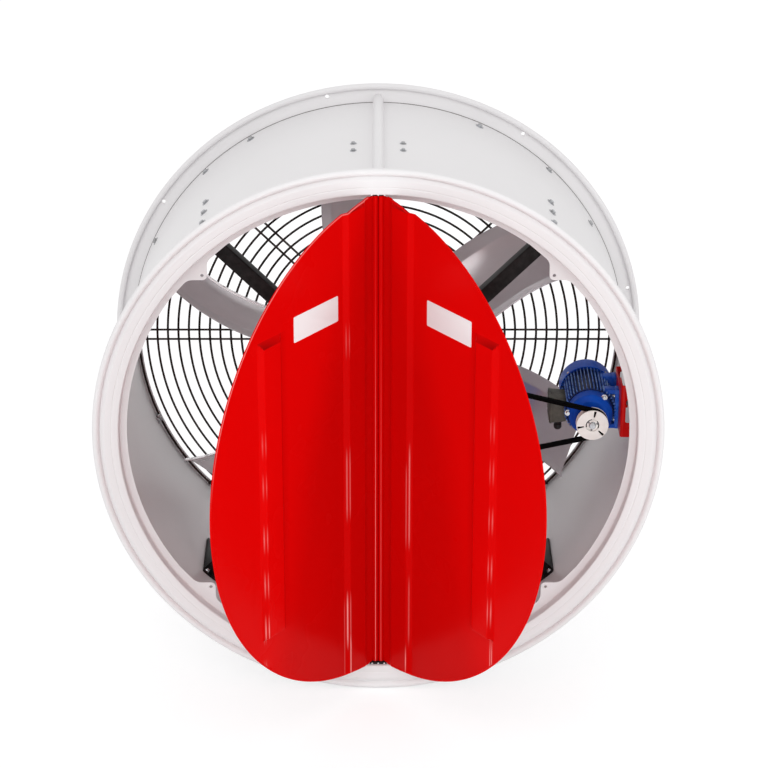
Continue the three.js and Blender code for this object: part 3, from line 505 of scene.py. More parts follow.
def finish(name, first, second, roughness, *, patch, metal=0.0, specular=0.5, tint=None, relief=None,
           wear_and_glint=None, brush=None):
    """A material for pieces of one slot. Its two colours and two roughnesses take turns in soft patches.

    relief is (peel, grain, grain share, height), wear_and_glint is (colour, width, share, break size)
    of lighter edges, a painted highlight on the fins, and brush is (stretch, size, share of roughness, height).
    """
    made = bpy.data.materials.new(name)
    made.use_nodes = True
    tree = made.node_tree
    shader = tree.nodes["Principled BSDF"]
    shader.inputs["Metallic"].default_value = metal
    shader.inputs["Specular IOR Level"].default_value = specular
    if tint:
        shader.inputs["Specular Tint"].default_value = tint
    tone = add_group(tree, TONE, Colour=srgb(*first), Second_colour=srgb(*second), Size=patch)
    spread = add_range(tree, 0.0, 1.0, *roughness)
    connect(tree, (tone, "Patches", spread, "Value"))
    colour, rough, normal = tone.outputs["Colour"], spread.outputs["Result"], None
    if wear_and_glint:
        edge = add_group(tree, EDGES, Width=wear_and_glint[1], Break_size=wear_and_glint[3])
        colour = laid_over(tree, colour, scaled(tree, edge.outputs["Mask"], wear_and_glint[2]), wear_and_glint[0])
    if brush:
        lines = add_group(tree, BRUSH, Stretch=brush[0], Size=brush[1])
        swing, total = add_range(tree, 0.3, 0.7, -brush[2], brush[2]), add_math(tree, "ADD")
        connect(
            tree, (lines, "Lines", swing, "Value"), (spread, "Result", total, 0), (swing, "Result", total, 1))
        rough = total.outputs["Value"]
        normal = add_bump(tree, lines.outputs["Lines"], brush[3])
    if relief:
        skin = add_group(tree, RELIEF, Peel=relief[0], Grain=relief[1], Grain_share=relief[2])
        normal = add_bump(tree, skin.outputs["Height"], relief[3], normal)
    tree.links.new(colour, shader.inputs["Base Color"])
    tree.links.new(rough, shader.inputs["Roughness"])
    if normal:
        tree.links.new(normal, shader.inputs["Normal"])
    return made


def make_leaf_paint():
    """Red enamel of the leaves, with painted highlights along its bends and painted shade at the ends and feet
    of its ribs and over the inner part of the sheet, both marked on the mesh.

    It throws a calmer tint on the white paint round it than it shows itself.
    """
    made = finish(
        "red leaf enamel", (219, 1, 1), (214, 1, 1), (0.26, 0.32), patch=1.8, specular=0.03,
        relief=(260, 1400, 0.25, 0.00002),
    )
    tree = made.node_tree
    shader = tree.nodes["Principled BSDF"]
    base = shader.inputs["Base Color"]
    bend, painted_shade, path = add_node(tree, "Attribute"), add_node(tree, "Attribute"), add_node(tree, "LightPath")
    bend.attribute_name, painted_shade.attribute_name = "bend", "painted_shade"
    colour = base.links[0].from_socket
    # Painted shade: dark red where the mesh marks painted_shade. Painted highlight: pale pink where it marks
    # bend.
    for mask, over in (
        (painted_shade.outputs["Fac"], (128, 0, 0)),
        (scaled(tree, bend.outputs["Fac"], 0.85), (255, 172, 168)),
        (scaled(tree, path.outputs["Is Diffuse Ray"], 0.6), (208, 182, 183)),
    ):
        colour = laid_over(tree, colour, mask, over)
    tree.links.new(colour, base)
    # Where the painted highlight is marked, a clear coat also adds real gloss.
    tree.links.new(scaled(tree, bend.outputs["Fac"], 0.7), shader.inputs["Coat Weight"])
    shader.inputs["Coat Roughness"].default_value = 0.2
    return made


def shade_between_fins(made, foot, crest, shade):
    """Darkens the paint from the fins' crests down to their feet, both given as radii from the motor's axis."""
    tree = made.node_tree
    base = tree.nodes["Principled BSDF"].inputs["Base Color"]
    place = add_node(tree, "TexCoord")
    steps = []
    for operation in ("SUBTRACT", "MULTIPLY", "LENGTH"):
        steps.append(tree.nodes.new("ShaderNodeVectorMath"))
        steps[-1].operation = operation
    from_axis, across, reach = steps
    from_axis.inputs[1].default_value = (MOTOR_X * MM, 0, MOTOR_Z * MM)
    across.inputs[1].default_value = (1, 0, 1)
    depth = add_range(tree, foot * MM, crest * MM, 0.92, 0.0)
    connect(
        tree, (place, "Object", from_axis, 0), (from_axis, "Vector", across, 0), (across, "Vector", reach, 0),
        (reach, "Value", depth, "Value"),
    )
    tree.links.new(laid_over(tree, base.links[0].from_socket, depth.outputs["Result"], shade), base)


white_paint = finish(
    "white powder coat", (235, 233, 234), (231, 229, 230), (0.36, 0.40), patch=1.1, specular=0.3,
    relief=(420, 1600, 0.25, 0.00002),
)
red_paint = finish(
    "red enamel", (222, 3, 3), (212, 2, 2), (0.30, 0.38), patch=6, specular=0.15,
    relief=(260, 1400, 0.25, 0.00004), wear_and_glint=((246, 70, 64), 0.1, 0.5, 30),
)
leaf_paint = make_leaf_paint()
blue_paint = finish(
    "blue machine paint", (18, 92, 214), (12, 74, 190), (0.30, 0.40), patch=14, specular=0.12,
    relief=(240, 900, 0.8, 0.00008), wear_and_glint=((120, 168, 240), 0.1, 0.35, 60),
)
# Painted highlight: the pale edge colour lights the fins' tips.
blue_fins = finish(
    "blue paint on fins", (14, 84, 204), (10, 66, 178), (0.30, 0.40), patch=14, specular=0.12,
    relief=(240, 900, 0.8, 0.00008), wear_and_glint=((158, 198, 250), 0.05, 1.0, 60),
)
shade_between_fins(blue_fins, 63.5, 70.5, (4, 14, 52))
black_paint = finish(
    "black enamel", (25, 22, 22), (19, 17, 17), (0.40, 0.50), patch=9, specular=0.12,
    relief=(300, 1100, 0.5, 0.00006), wear_and_glint=((76, 72, 72), 0.1, 0.4, 50),
)
blade_steel = finish(
    "bright blade steel", (226, 220, 222), (214, 207, 210), (0.18, 0.25), metal=0.66, patch=3.5,
    relief=(14, 60, 0.2, 0.0004),
)
plain_steel = finish(
    "zinc plated steel", (176, 178, 182), (150, 150, 150), (0.24, 0.40), metal=1.0, patch=60,
    relief=(500, 1800, 0.4, 0.00003), wear_and_glint=((210, 210, 212), 0.1, 0.5, 80),
)
guard_wire = finish(
    "dark drawn wire", (70, 62, 60), (44, 39, 38), (0.24, 0.38), metal=1.0, patch=22,
    tint=(0.3, 0.28, 0.28, 1), relief=(700, 2400, 0.4, 0.00003),
)
cast_iron = finish(
    "grey cast iron", (126, 127, 130), (100, 100, 102), (0.52, 0.70), metal=0.35, patch=20,
    relief=(260, 900, 1.0, 0.00035), wear_and_glint=((176, 176, 178), 0.09, 0.5, 70),
)
pulley_alloy = finish(
    "turned pulley alloy", (248, 246, 242), (240, 237, 232), (0.34, 0.46), metal=0.08, patch=30,
    brush=((1, 1, 1), 500, 0.05, 0.00001),
)
belt_rubber = finish(
    "belt rubber", (4, 4, 4), (8, 7, 7), (0.70, 0.85), patch=30, specular=0.04,
    relief=(900, 3000, 1.0, 0.00012),
)
box_grey = finish(
    "olive grey moulding", (96, 95, 86), (76, 76, 69), (0.50, 0.68), patch=26, specular=0.35,
    relief=(600, 2200, 0.9, 0.00018), wear_and_glint=((126, 126, 116), 0.08, 0.5, 80),
)
black_plastic = finish(
    "black moulding", (34, 34, 35), (26, 26, 27), (0.45, 0.60), patch=40, specular=0.4,
    relief=(700, 2200, 0.8, 0.0001),
)
plate_white = finish(
    "bare white plate", (240, 238, 239), (235, 232, 234), (0.30, 0.36), patch=3, specular=0.3,
    relief=(500, 1800, 0.3, 0.00002),
)
bright_steel = finish(
    "bright bolt steel", (214, 215, 218), (190, 190, 192), (0.14, 0.24), metal=1.0, patch=80,
    relief=(800, 2400, 0.4, 0.00002),
)
# Painted shade: the grey of the shadow line where the drum meets the rear flange.
joint_shade_grey = finish(
    "joint shadow_grey", (120, 116, 115), (96, 93, 92), (0.6, 0.75), patch=20, specular=0.1,
)


# Drum, front ring and rear flange


def make_drum():
    """The rolled shell, with a low weld along its bottom seam, outside and inside."""
    form = bmesh.new()
    front, back = behind(2.8), -3.3
    add_revolve(form, [(DRUM_INNER, front), (DRUM, front), (DRUM, back), (DRUM_INNER, back)])
    weld, half, sunk = 1.6, 4.0, 0.5
    section = [(-half, 0), (-half / 2, weld), (half / 2, weld), (half, 0)]
    for z, sign in ((-DRUM, -1), (-DRUM_INNER, 1)):
        add_prism(form, [(x, z + sign * height - sign * sunk) for x, height in section], front, back)
    piece("drum", form, white_paint, "frame", ("drum_shell_left", "drum_shell_right"))


def make_seam_cover():
    """A half-round cover along the drum's top seam, with a fillet at each side."""
    half, crest, fillet = 13.5, 742, 2.4
    foot, neck = DRUM - 0.4, DRUM + 2.5
    right = [(half + 1, neck), (half + fillet, foot)]
    left = [(-x, z) for x, z in reversed(right)]
    form = bmesh.new()
    add_prism(form, [*left, *arc(half, 180, 0, 24, z=crest - half), *right], behind(4), -6)
    piece("seam_cover", form, white_paint, "frame", ("drum_seam_cover",))


def front_ring_profile():
    """One pressed sheet: lip, step, flat face with a crease, and rolled outer hem."""
    sheet, hem, step, crease, bend, sunk = 2.5, 10.2, 30, 723, 742, 5
    centre = FRONT_RING - hem
    groove = centre - hem
    face = rounded([
        (LIP, step), (RECESS, step), (RECESS, 0), (crease - 2, 0), (crease, 0.9), (crease + 2, 0), (bend, 0),
        (groove, sunk),
    ], [0, 5, 5, 1, 1, 1, 6, 0], 5, closed=False)
    back = rounded([
        (groove, sunk + sheet), (bend, sheet), (RECESS + sheet, sheet), (RECESS + sheet, step + sheet),
        (LIP, step + sheet),
    ], [0, 4, 3, 7, 0], 5, closed=False)
    return [(radius, behind(depth)) for radius, depth in [*face, *arc(hem, 180, 450, 26, centre, sunk), *back]]


def ear_outline():
    """One ear of the lip in the quadrant where x and z are positive, with hollow fillets to the lip."""
    edge, outer, fillet, tip = 453, 692, 34, 15
    reach = math.sqrt(LIP ** 2 - edge ** 2)
    start = math.degrees(math.atan2(edge, reach)) - 5.5
    swing = math.radians(start)
    x, z = LIP * math.cos(swing), LIP * math.sin(swing)
    corner = [(z, x), (edge, reach - 4), (edge, edge), (reach - 4, edge), (x, z)]
    return [*rounded(corner, [0, fillet, tip, fillet, 0], 8, closed=False), *arc(outer, start, 90 - start, 24)]


def make_front_ring():
    """The front ring with its four ears, each with a hole."""
    form = bmesh.new()
    add_revolve(form, front_ring_profile())
    hole = circle(4.6, 20, 466, 466)
    for quarter in range(4):
        add_prism(form, ear_outline(), behind(29.4), behind(33.0), turned(90 * quarter), holes=[hole])
    piece("front_ring_pressing", form, white_paint, "frame", ("front_ring",))


def make_rear_flange():
    """A flat flange with a rolled outer hem, and eight holes for wall bolts."""
    hem, sheet, seat, foot = 9, 3, -19, DRUM + 0.3
    bolt_circle, bolt_hole = 746, 6
    centre = REAR_FLANGE - hem
    profile = [
        (RECESS, 0), (centre, 0), *arc(hem, 90, -135, 20, centre, -hem)[1:], (755.3, -4.5), (722.2, seat),
        (foot, seat), (foot, -sheet), (RECESS, -sheet),
    ]
    form, drill = bmesh.new(), bmesh.new()
    add_revolve(form, profile)
    for i in range(8):
        add_prism(drill, circle(bolt_hole, 20), -40, 10, turned((i + 0.75) * 45) @ moved(bolt_circle, 0, 0))
    piece("rear_flange_pressing", form, white_paint, "frame", ("rear_flange",), carve=drill)


def make_flange_joint_shade():
    """Painted shade: a thin grey ring where the drum runs into the rear flange, standing for the shadow in that
    joint.
    """
    form = bmesh.new()
    seat, crest = DRUM - 0.2, DRUM + 1.1
    add_revolve(form, [(seat, -21.2), (crest, -20.4), (crest, -19.4), (seat, -18.6)])
    piece("flange_joint_shade", form, joint_shade_grey, "frame")


def make_drum_fasteners():
    """Bolts of the braces, flanges and motor bracket, and the screws beside the seam cover."""
    seat = DRUM - 0.2
    marks = [(azimuth, depth) for azimuth in (48.6, 131.4, 228.6, 311.4) for depth in BRACE_BOLTS]
    marks += [(azimuth, 690) for azimuth in (120.3, 133.4, 66.4, 47.2, 240, 300)]
    marks += [(azimuth, 640) for azimuth in (152.7, 32.3, 207, 333)]
    form = bmesh.new()
    for azimuth, depth in marks:
        add_bolt(form, on_drum(azimuth, seat, depth))
    for azimuth in (84.6, 95.4):
        for depth in (315, 373):
            add_bolt(form, on_drum(azimuth, seat, depth), 10, 4.5)
    for depth in (190, 350):
        for offset in (-3.2, 3.2):
            add_bolt(form, on_drum(offset - 0.6, seat, depth), thread=6)
    piece("drum_bolts", form, plain_steel, "frame", smooth=25)


# Shutter leaves

# A place on a leaf is (u, z), with u square to the hinge line.

HINGE_X = 7.5
HINGE_DEPTH = 20
TUBE = 7.1
TUBE_END = 694.7
LEAF_SHEET = 2.5
LEAF_FRONT = 4
RIB_HEIGHT = 12
RIB_SLOPE = 14.5
OPEN_ANGLE = 53.3
NOTCH_WIDTH = 23
NOTCH_TOP = 694
EDGE_PULL = 0.74
LINE = 2.2
PLATE_ENDS = {-1: (158, 343), 1: (195, 379)}
PLATE_HEIGHTS = (392, 463)

# Ribs are (start, end, bottom, top, top slope, bottom slope).
# Glints are (rib, share of its outer slope, middle, half length, strength), for the left leaf at -1.
INNER_RIB = (41.5, 138, -760, 702, 22, 24)
OUTER_RIB = (397, 492, -415, 440, 20, 8)
GLINTS = {
    -1: (
        (INNER_RIB, 0, -590, 130, 0.18), (INNER_RIB, 0.5, -95, 90, 0.4), (INNER_RIB, 1, -90, 90, 0.4),
        (INNER_RIB, 0.5, -510, 70, 1.0), (INNER_RIB, 1, -500, 60, 0.4), (INNER_RIB, 1, -640, 80, 1.0),
        (INNER_RIB, 0.5, 325, 30, 0.2), (INNER_RIB, 1, 325, 30, 0.2),
        *((OUTER_RIB, share, *glint) for share in (0.5, 1) for glint in (
            (157, 18, 0.25), (38, 18, 0.3), (-114, 20, 0.45), (-248, 20, 0.5), (-384, 26, 0.7),
            (-528, 32, 1.0))),
    ),
    1: (
        (INNER_RIB, 0.5, -130, 140, 0.5), (INNER_RIB, 1, -160, 110, 0.3), (INNER_RIB, 1, -640, 30, 0.8),
        (INNER_RIB, 0.5, -480, 90, 0.25),
        *((OUTER_RIB, share, *glint) for share in (0.5, 1) for glint in (
            (200, 18, 0.2), (80, 18, 0.25), (-60, 20, 0.35), (-200, 20, 0.4), (-330, 24, 0.5),
            (-490, 60, 0.9))),
    ),
}


def soft_ramp(value):
    """0 to 1 ramp with softened ends, as a press leaves a bend."""
    soft = 0.12
    if value <= -soft:
        return 0.0
    if value < soft:
        return (value + soft) ** 2 / (4 * soft)
    if value <= 1 - soft:
        return value
    if value < 1 + soft:
        return 1 - (1 + soft - value) ** 2 / (4 * soft)
    return 1.0


def rib_share(u, z, rib):
    """How far the rib has risen at a place, from 0 to 1."""
    start, end, bottom, top, top_slope, bottom_slope = rib
    across = min((u - start) / RIB_SLOPE, (end - u) / RIB_SLOPE)
    along = min((z - bottom) / bottom_slope, (top - z) / top_slope)
    return soft_ramp(min(across, along))


def leaf_front(u, z):
    """Local Y of the leaf's front face. A rib stands towards the front."""
    return LEAF_FRONT - RIB_HEIGHT * max(rib_share(u, z, INNER_RIB), rib_share(u, z, OUTER_RIB))


def painted_highlight_mark(u, z, side):
    """Painted highlight: short bright runs along the ribs' outer slopes, as listed in GLINTS."""
    mark, fade = 0.0, 22
    for (_, end, _, top, top_slope, _), share, middle, half, strength in GLINTS[side]:
        across = 1 - abs(u - end + RIB_SLOPE * share) / LINE
        if across > 0 and z < top - top_slope:
            mark = max(mark, across * strength * soft_ramp((half + fade - abs(z - middle)) / (2 * fade)))
    return mark


def painted_shade_mark(u, z):
    """Painted shade: how much darker red is laid on a place, at the ends and feet of the ribs, and over the
    part of the sheet towards the hinge.
    """
    border = 298 - (0.39 if z > 0 else 0.23) * z
    mark = (0.06 + 0.15 * soft_ramp((u - 40) / 90)) * soft_ramp(0.5 + (border - u) / 120)
    for rib in (INNER_RIB, OUTER_RIB):
        start, end, bottom, top, top_slope, bottom_slope = rib
        if not start - LINE < u < end or not bottom < z < top:
            continue
        side = min(u - start, end - u) / RIB_SLOPE
        up, down = (z - top + top_slope) / top_slope, (bottom + bottom_slope - z) / bottom_slope
        if up > 0 and (top - z) / top_slope < side:
            fade = 1 - 0.6 * (u - start - RIB_SLOPE) / (end - start - 2 * RIB_SLOPE)
            mark = max(mark, min(up / 0.12, 1.0) * (1 - 0.65 * up) * min(1.0, 1.4 - fade))
        elif down > 0 and (z - bottom) / bottom_slope < side:
            mark = max(mark, 0.5)
        elif u < start + RIB_SLOPE:
            mark = max(mark, 0.14, 0.42 * (1 - abs(u - start) / LINE))
        elif u > end - RIB_SLOPE:
            mark = max(mark, 0.22 * soft_ramp(-z / 500))
    return mark


def edge_radius(u, z):
    """Radius of the leaf's edge from the drum axis. A rib that runs out at the bottom has drawn the edge in."""
    return LEAF - (EDGE_PULL * (LEAF_FRONT - leaf_front(u, z)) if z < 0 else 0)


def inside_leaf(u, z):
    return math.hypot(u + HINGE_X, z) <= edge_radius(u, z) + 1e-6


def edge_crossing(inner, outer):
    """Where the way from a point inside the leaf to one outside meets its edge."""
    for _ in range(24):
        middle = ((inner[0] + outer[0]) / 2, (inner[1] + outer[1]) / 2)
        if inside_leaf(*middle):
            inner = middle
        else:
            outer = middle
    return inner


def clip_cell(u0, u1, z0, z1):
    """The part of a grid cell inside the leaf's edge, as a loop of (u, z) corners."""
    box = [(u0, z0), (u1, z0), (u1, z1), (u0, z1)]
    loop = []
    for start, end in zip(box, [*box[1:], box[0]]):
        if inside_leaf(*start):
            loop.append(start)
        if inside_leaf(*start) != inside_leaf(*end):
            loop.append(edge_crossing(start, end) if inside_leaf(*start) else edge_crossing(end, start))
    unique = []
    for point in loop:
        if not unique or math.dist(point, unique[-1]) > 0.01:
            unique.append(point)
    if len(unique) > 1 and math.dist(unique[0], unique[-1]) <= 0.01:
        unique.pop()
    return unique


def grid_lines(first, last, folds, widest):
    """Grid places with close lines at each fold and wide ones between."""
    close = (-0.15, -0.05, 0, 0.05, 0.15)
    lines = {first, last}
    for place, width in folds:
        lines |= {place + width * step for step in close}
    ordered = sorted(line for line in lines if first <= line <= last)
    result = []
    for a, b in zip(ordered, ordered[1:]):
        parts = max(1, math.ceil((b - a) / widest))
        result += [a + (b - a) * i / parts for i in range(parts)]
    return [*result, last]


def fold_places(rib, along):
    """The rib's bends, each with the width of its slope, as met going up the leaf or going across it."""
    start, end, bottom, top, top_slope, bottom_slope = rib
    if along:
        return [(bottom, bottom_slope), (bottom + bottom_slope, bottom_slope), (top - top_slope, top_slope),
                (top, top_slope)]
    places = (start, start + RIB_SLOPE, end - RIB_SLOPE, end - RIB_SLOPE / 2, end)
    return [(place, RIB_SLOPE) for place in places]


def make_leaf_sheet(form, place, side):
    """A pressed half disc of even thickness. Rows run across, and each row ends on the arc."""
    across, along = (
        [fold for rib in (INNER_RIB, OUTER_RIB) for fold in fold_places(rib, way)] for way in (False, True))
    us = [*grid_lines(TUBE - 3, NOTCH_WIDTH, [], 7)[:-1], *grid_lines(NOTCH_WIDTH, LEAF - HINGE_X, across, 26)]
    zs = grid_lines(-LEAF, LEAF, [*along, (-NOTCH_TOP, 0.1), (NOTCH_TOP, 0.1)], 9)
    corners = {}
    # Layers for the painted highlight and the painted shade of the leaf's front face.
    bend, painted_shade = form.verts.layers.float.new("bend"), form.verts.layers.float.new("painted_shade")

    def corner(u, z):
        key = (round(u, 3), round(z, 3))
        if key not in corners:
            y = leaf_front(u, z)
            pair = [form.verts.new(place @ Vector((side * u, y + lift, z))) for lift in (0, LEAF_SHEET)]
            pair[0][bend], pair[0][painted_shade] = painted_highlight_mark(u, z, side), painted_shade_mark(u, z)
            corners[key] = pair
        return corners[key]

    edges = {}
    for z0, z1 in zip(zs, zs[1:]):
        for u0, u1 in zip(us, us[1:]):
            if u1 <= NOTCH_WIDTH and max(abs(z0), abs(z1)) > NOTCH_TOP + 0.1:
                continue
            loop = clip_cell(u0, u1, z0, z1)
            if len(loop) < 3:
                continue
            pairs = [corner(u, z) for u, z in loop]
            form.faces.new([pair[0] for pair in pairs])
            form.faces.new([pair[1] for pair in reversed(pairs)])
            for a, b in zip(pairs, [*pairs[1:], pairs[0]]):
                edges[(id(a), id(b))] = (a, b)
    for (first, second), (a, b) in edges.items():
        if (second, first) not in edges:
            form.faces.new((a[0], a[1], b[1], b[0]))


def make_leaf_edge(form, place, side):
    """The rolled edge along the leaf's arc. It follows the ribs where they run out through the edge."""
    radius, inset, steps, inside, outside = 2.3, 1.9, 480, 640, 720
    start = math.degrees(math.acos((NOTCH_WIDTH + HINGE_X) / LEAF)) - 0.3
    rows = []
    for i in range(steps + 1):
        angle = math.radians(-start + 2 * start * i / steps)
        cos, sin = math.cos(angle), math.sin(angle)
        edge = edge_crossing((cos * inside - HINGE_X, sin * inside), (cos * outside - HINGE_X, sin * outside))
        reach = math.hypot(edge[0] + HINGE_X, edge[1]) - inset - radius / 2
        u, z = reach * cos - HINGE_X, reach * sin
        y = leaf_front(u, z) + LEAF_SHEET / 2
        rows.append([(side * (u + out * cos), y + depth, z + out * sin) for out, depth in circle(radius, 10)])
    # Painted highlight along the upper part of the left leaf's rolled edge.
    bend = form.verts.layers.float["bend"]
    for row in add_rows(form, rows, place):
        for vertex in row:
            vertex[bend] = 0.4 * soft_ramp((vertex.co.z - 60) / 200) if side < 0 else 0.0


def make_leaf_tube(form, place, side, bore):
    """The rolled hinge edge. Its front, as it stands open, carries a painted highlight along a thin line,
    stronger lower down and on the left leaf.
    """
    bend, sides = form.verts.layers.float["bend"], 48
    rows = [(bore, -TUBE_END), *((TUBE, z) for z in (-TUBE_END, -300, 300, TUBE_END)), (bore, TUBE_END)]
    facing = math.radians(side * OPEN_ANGLE - 90)
    grid = []
    for radius, z in rows:
        loop = []
        for i in range(sides):
            angle = FULL * i / sides + facing
            vertex = form.verts.new(place @ Vector((radius * math.cos(angle), radius * math.sin(angle), z)))
            if i == 0 and radius == TUBE:
                vertex[bend] = (1.0 if side < 0 else 0.45) * min(1.0, 0.55 - z / 700)
            loop.append(vertex)
        grid.append(loop)
    for near, far in zip(grid, [*grid[1:], grid[0]]):
        for i in range(sides):
            j = (i + 1) % sides
            form.faces.new((near[i], near[j], far[j], far[i]))


def at_hinge(side):
    """Frame of a hinge line, square to the drum."""
    return moved(side * HINGE_X, behind(HINGE_DEPTH), 0)


def make_leaf(name, side):
    """A leaf with its rolled edges in one piece, and the bare plate on it."""
    place = at_hinge(side) @ turned(-side * OPEN_ANGLE, "Z")
    form = bmesh.new()
    make_leaf_sheet(form, place, side)
    make_leaf_edge(form, place, side)
    make_leaf_tube(form, place, side, 4.7)
    body = f"shutter_{name}"
    piece(f"leaf_{name}", form, leaf_paint, body, (body,), smooth=22)
    (low, high), (foot, head) = PLATE_ENDS[side], PLATE_HEIGHTS
    outline = rounded([(low, foot), (high, foot), (high, head), (low, head)], 4, 4)
    form = bmesh.new()
    add_prism(form, [(side * u, z) for u, z in outline], LEAF_FRONT - 0.9, LEAF_FRONT + 0.2, place)
    piece(f"plate_{name}", form, plate_white, body, bevel=0.25)


def make_hinge_rod(name, side):
    radius, end, edge = 4, 700.4, 0.8
    form = bmesh.new()
    add_revolve(form, rod_profile(radius, -end, end, edge), 24, at_hinge(side) @ turned(90, "X"))
    piece(f"rod_{name}", form, plain_steel, "frame", (f"hinge_rod_{name}",))


def make_hinge_block(name, turn, front):
    """A tapered block that holds both rods at one end of the hinge line."""
    half, waist, low = 24, 17, 695
    side = low + 4
    outline = [(-waist, low), (waist, low), (half, side), *arc(RECESS - 0.3, 88.05, 91.95, 8), (-half, side)]
    form, bolts = bmesh.new(), bmesh.new()
    add_prism(form, outline, behind(front), behind(29.7), turned(turn))
    for x in (0, -waist, waist):
        spot = turned(turn) @ moved(x, behind(front + 0.2), low + 3.4) @ QUARTER_TURN
        add_bolt(bolts, spot, 5, 2.2, washer=False)
    piece(f"block_{name}", form, black_paint, "frame", (f"hinge_block_{name}",), bevel=0.8)
    piece(f"block_{name}_bolts", bolts, bright_steel, "frame", smooth=25)


def make_hinge_gap_shade():
    """Painted shade: a dark strip in the gap between the two rolled hinge edges."""
    form = bmesh.new()
    half, end = 2.6, 694.6
    add_block(form, -half, half, behind(26.2), behind(28.2), -end, end)
    piece("hinge_gap_shade", form, belt_rubber, "frame", bevel=0.3)


# Braces and the bearing housing that they carry


def curved_plate(form, place, inner, outer, half_width, front, back, corner=8):
    """A plate bent to the drum's wall. Its middle lies on the place's X axis."""
    half, steps = half_width, 12
    flat = rounded([(-half, front), (half, front), (half, back), (-half, back)], corner, 5)
    columns = sorted({round(-half + 2 * half * i / steps, 3) for i in range(steps + 1)})
    shell = bmesh.new()
    near = [shell.verts.new((inner, y, w)) for w, y in flat]
    shell.faces.new(near)
    for cut in columns[1:-1]:
        geometry = [*shell.verts, *shell.edges, *shell.faces]
        bmesh.ops.bisect_plane(shell, geom=geometry, plane_co=(0, 0, cut), plane_no=(0, 0, 1))
    faces = list(shell.faces)
    pairs = {}

    def bent(vertex, radius):
        key = (vertex.index, radius)
        if key not in pairs:
            angle = vertex.co.z / outer
            point = Vector((radius * math.cos(angle), vertex.co.y, radius * math.sin(angle)))
            pairs[key] = form.verts.new(place @ point)
        return pairs[key]

    shell.verts.index_update()
    for face in faces:
        form.faces.new([bent(v, inner) for v in face.verts])
        form.faces.new([bent(v, outer) for v in reversed(face.verts)])
    for edge in shell.edges:
        if len(edge.link_faces) == 1:
            a, b = edge.verts
            form.faces.new((bent(a, inner), bent(b, inner), bent(b, outer), bent(a, outer)))
    shell.free()


def make_brace(name, turn, side):
    """An angle bar with a rounded root, welded to its curved foot."""
    leg, steel, offset, start, end = 40, 4, 7, 84, 712
    near, far = side * offset, side * (offset + leg)
    web, front = far - side * steel, behind(BRACE)
    flange = front + steel
    toe = front + leg
    outline = rounded([
        (near, front), (far, front), (far, toe), (web, toe), (web, flange), (near, flange),
    ], [1.2, 4.5, 1.5, 1.5, 4, 1.5], 4)
    form = bmesh.new()
    add_rows(form, [[(x, y, z) for z, y in outline] for x in (start, end)], turned(turn))
    foot_centre, foot_width, foot_length, lead = offset + 38, 76, 205, 12
    foot_place = turned(turn) @ turned(-side * math.degrees(math.asin(foot_centre / DRUM_INNER)))
    foot_front = behind(BRACE - lead)
    curved_plate(form, foot_place, DRUM_INNER - 6, DRUM_INNER - 0.3, foot_width / 2, foot_front,
                 foot_front + foot_length)
    weld = [(end + x, flange + y) for x, y in ((-4.5, -2), (-4.5, 3), (-1, 6), (2, 6), (2, -2))]
    add_upright(form, weld, *sorted((near, far)), turned(turn))
    piece(f"angle_{name}", form, black_paint, "frame", (f"brace_{name}",), bevel=0.6)
    form = bmesh.new()
    seat = DRUM_INNER - 5.8
    for depth in BRACE_BOLTS:
        add_bolt(form, foot_place @ moved(seat, behind(depth), 0) @ HALF_TURN, 13, 8, thread=7)
    for swing in (-2.1, 2.1):
        add_bolt(form, foot_place @ turned(swing) @ moved(seat, foot_front + 14, 0) @ HALF_TURN, 10, 6)
    add_bolt(form, turned(turn) @ moved(91, front - 8.4, side * 27) @ QUARTER_TURN)
    piece(f"angle_{name}_bolts", form, bright_steel, "frame", smooth=25)


def make_bearing_plate():
    """Square plate with cut corners that the four braces carry."""
    half, flat, steel, back = 95, 65, 8, behind(BRACE) - 0.3
    outline = [(half, -flat), (half, flat), (flat, half), (-flat, half), (-half, flat), (-half, -flat),
               (-flat, -half), (flat, -half)]
    form = bmesh.new()
    add_prism(form, rounded(outline, 6, 3), back - steel, back, holes=[circle(50.8, 64)])
    piece("bearing_seat", form, black_paint, "frame", ("bearing_plate",), bevel=0.8)


def make_bearing_housing():
    """A cast tube with a flange, four bolt lugs and a grease nipple."""
    bore, seat, tube, flange, seat_depth = 29, 36.3, 50, 80, 18.3
    flange_back = behind(BRACE) - 8.6
    flange_front = flange_back - 10
    front, back = behind(HOUSING_FRONT), behind(HOUSING_REAR)
    profile = [
        (seat, front), (tube, front), (tube, flange_front), (flange, flange_front), (flange, flange_back),
        (tube, flange_back), (tube, back), (seat, back), (seat, back - seat_depth), (bore, back - seat_depth),
        (bore, front + seat_depth), (seat, front + seat_depth),
    ]
    form, bolts = bmesh.new(), bmesh.new()
    add_revolve(form, rounded(profile, [1, 3, 6, 2, 1, 0, 3, 1, 0, 0, 0, 0], 4), 96)
    lug_front = flange_front - 4
    lug = [(0, lug_front), (9, lug_front), (11, flange_front + 1), (0, flange_front + 1)]
    for i in range(4):
        place = turned(90 * i + 45) @ moved(66, 0, 0)
        add_revolve(form, lug, 24, place)
        add_bolt(bolts, place @ moved(0, lug_front, 0) @ QUARTER_TURN, 13, 6)
    nipple = [(0, 0), (4, 0), (4, 4), (2.4, 5), (2.4, 9), (3.2, 10), (1.5, 13), (0, 13)]
    add_revolve(form, nipple, 16, turned(-90) @ moved(49, front + 30, 0) @ QUARTER_TURN)
    piece("bearing_tube", form, cast_iron, "frame", ("bearing_housing",))
    piece("bearing_tube_bolts", bolts, plain_steel, "frame", smooth=25)


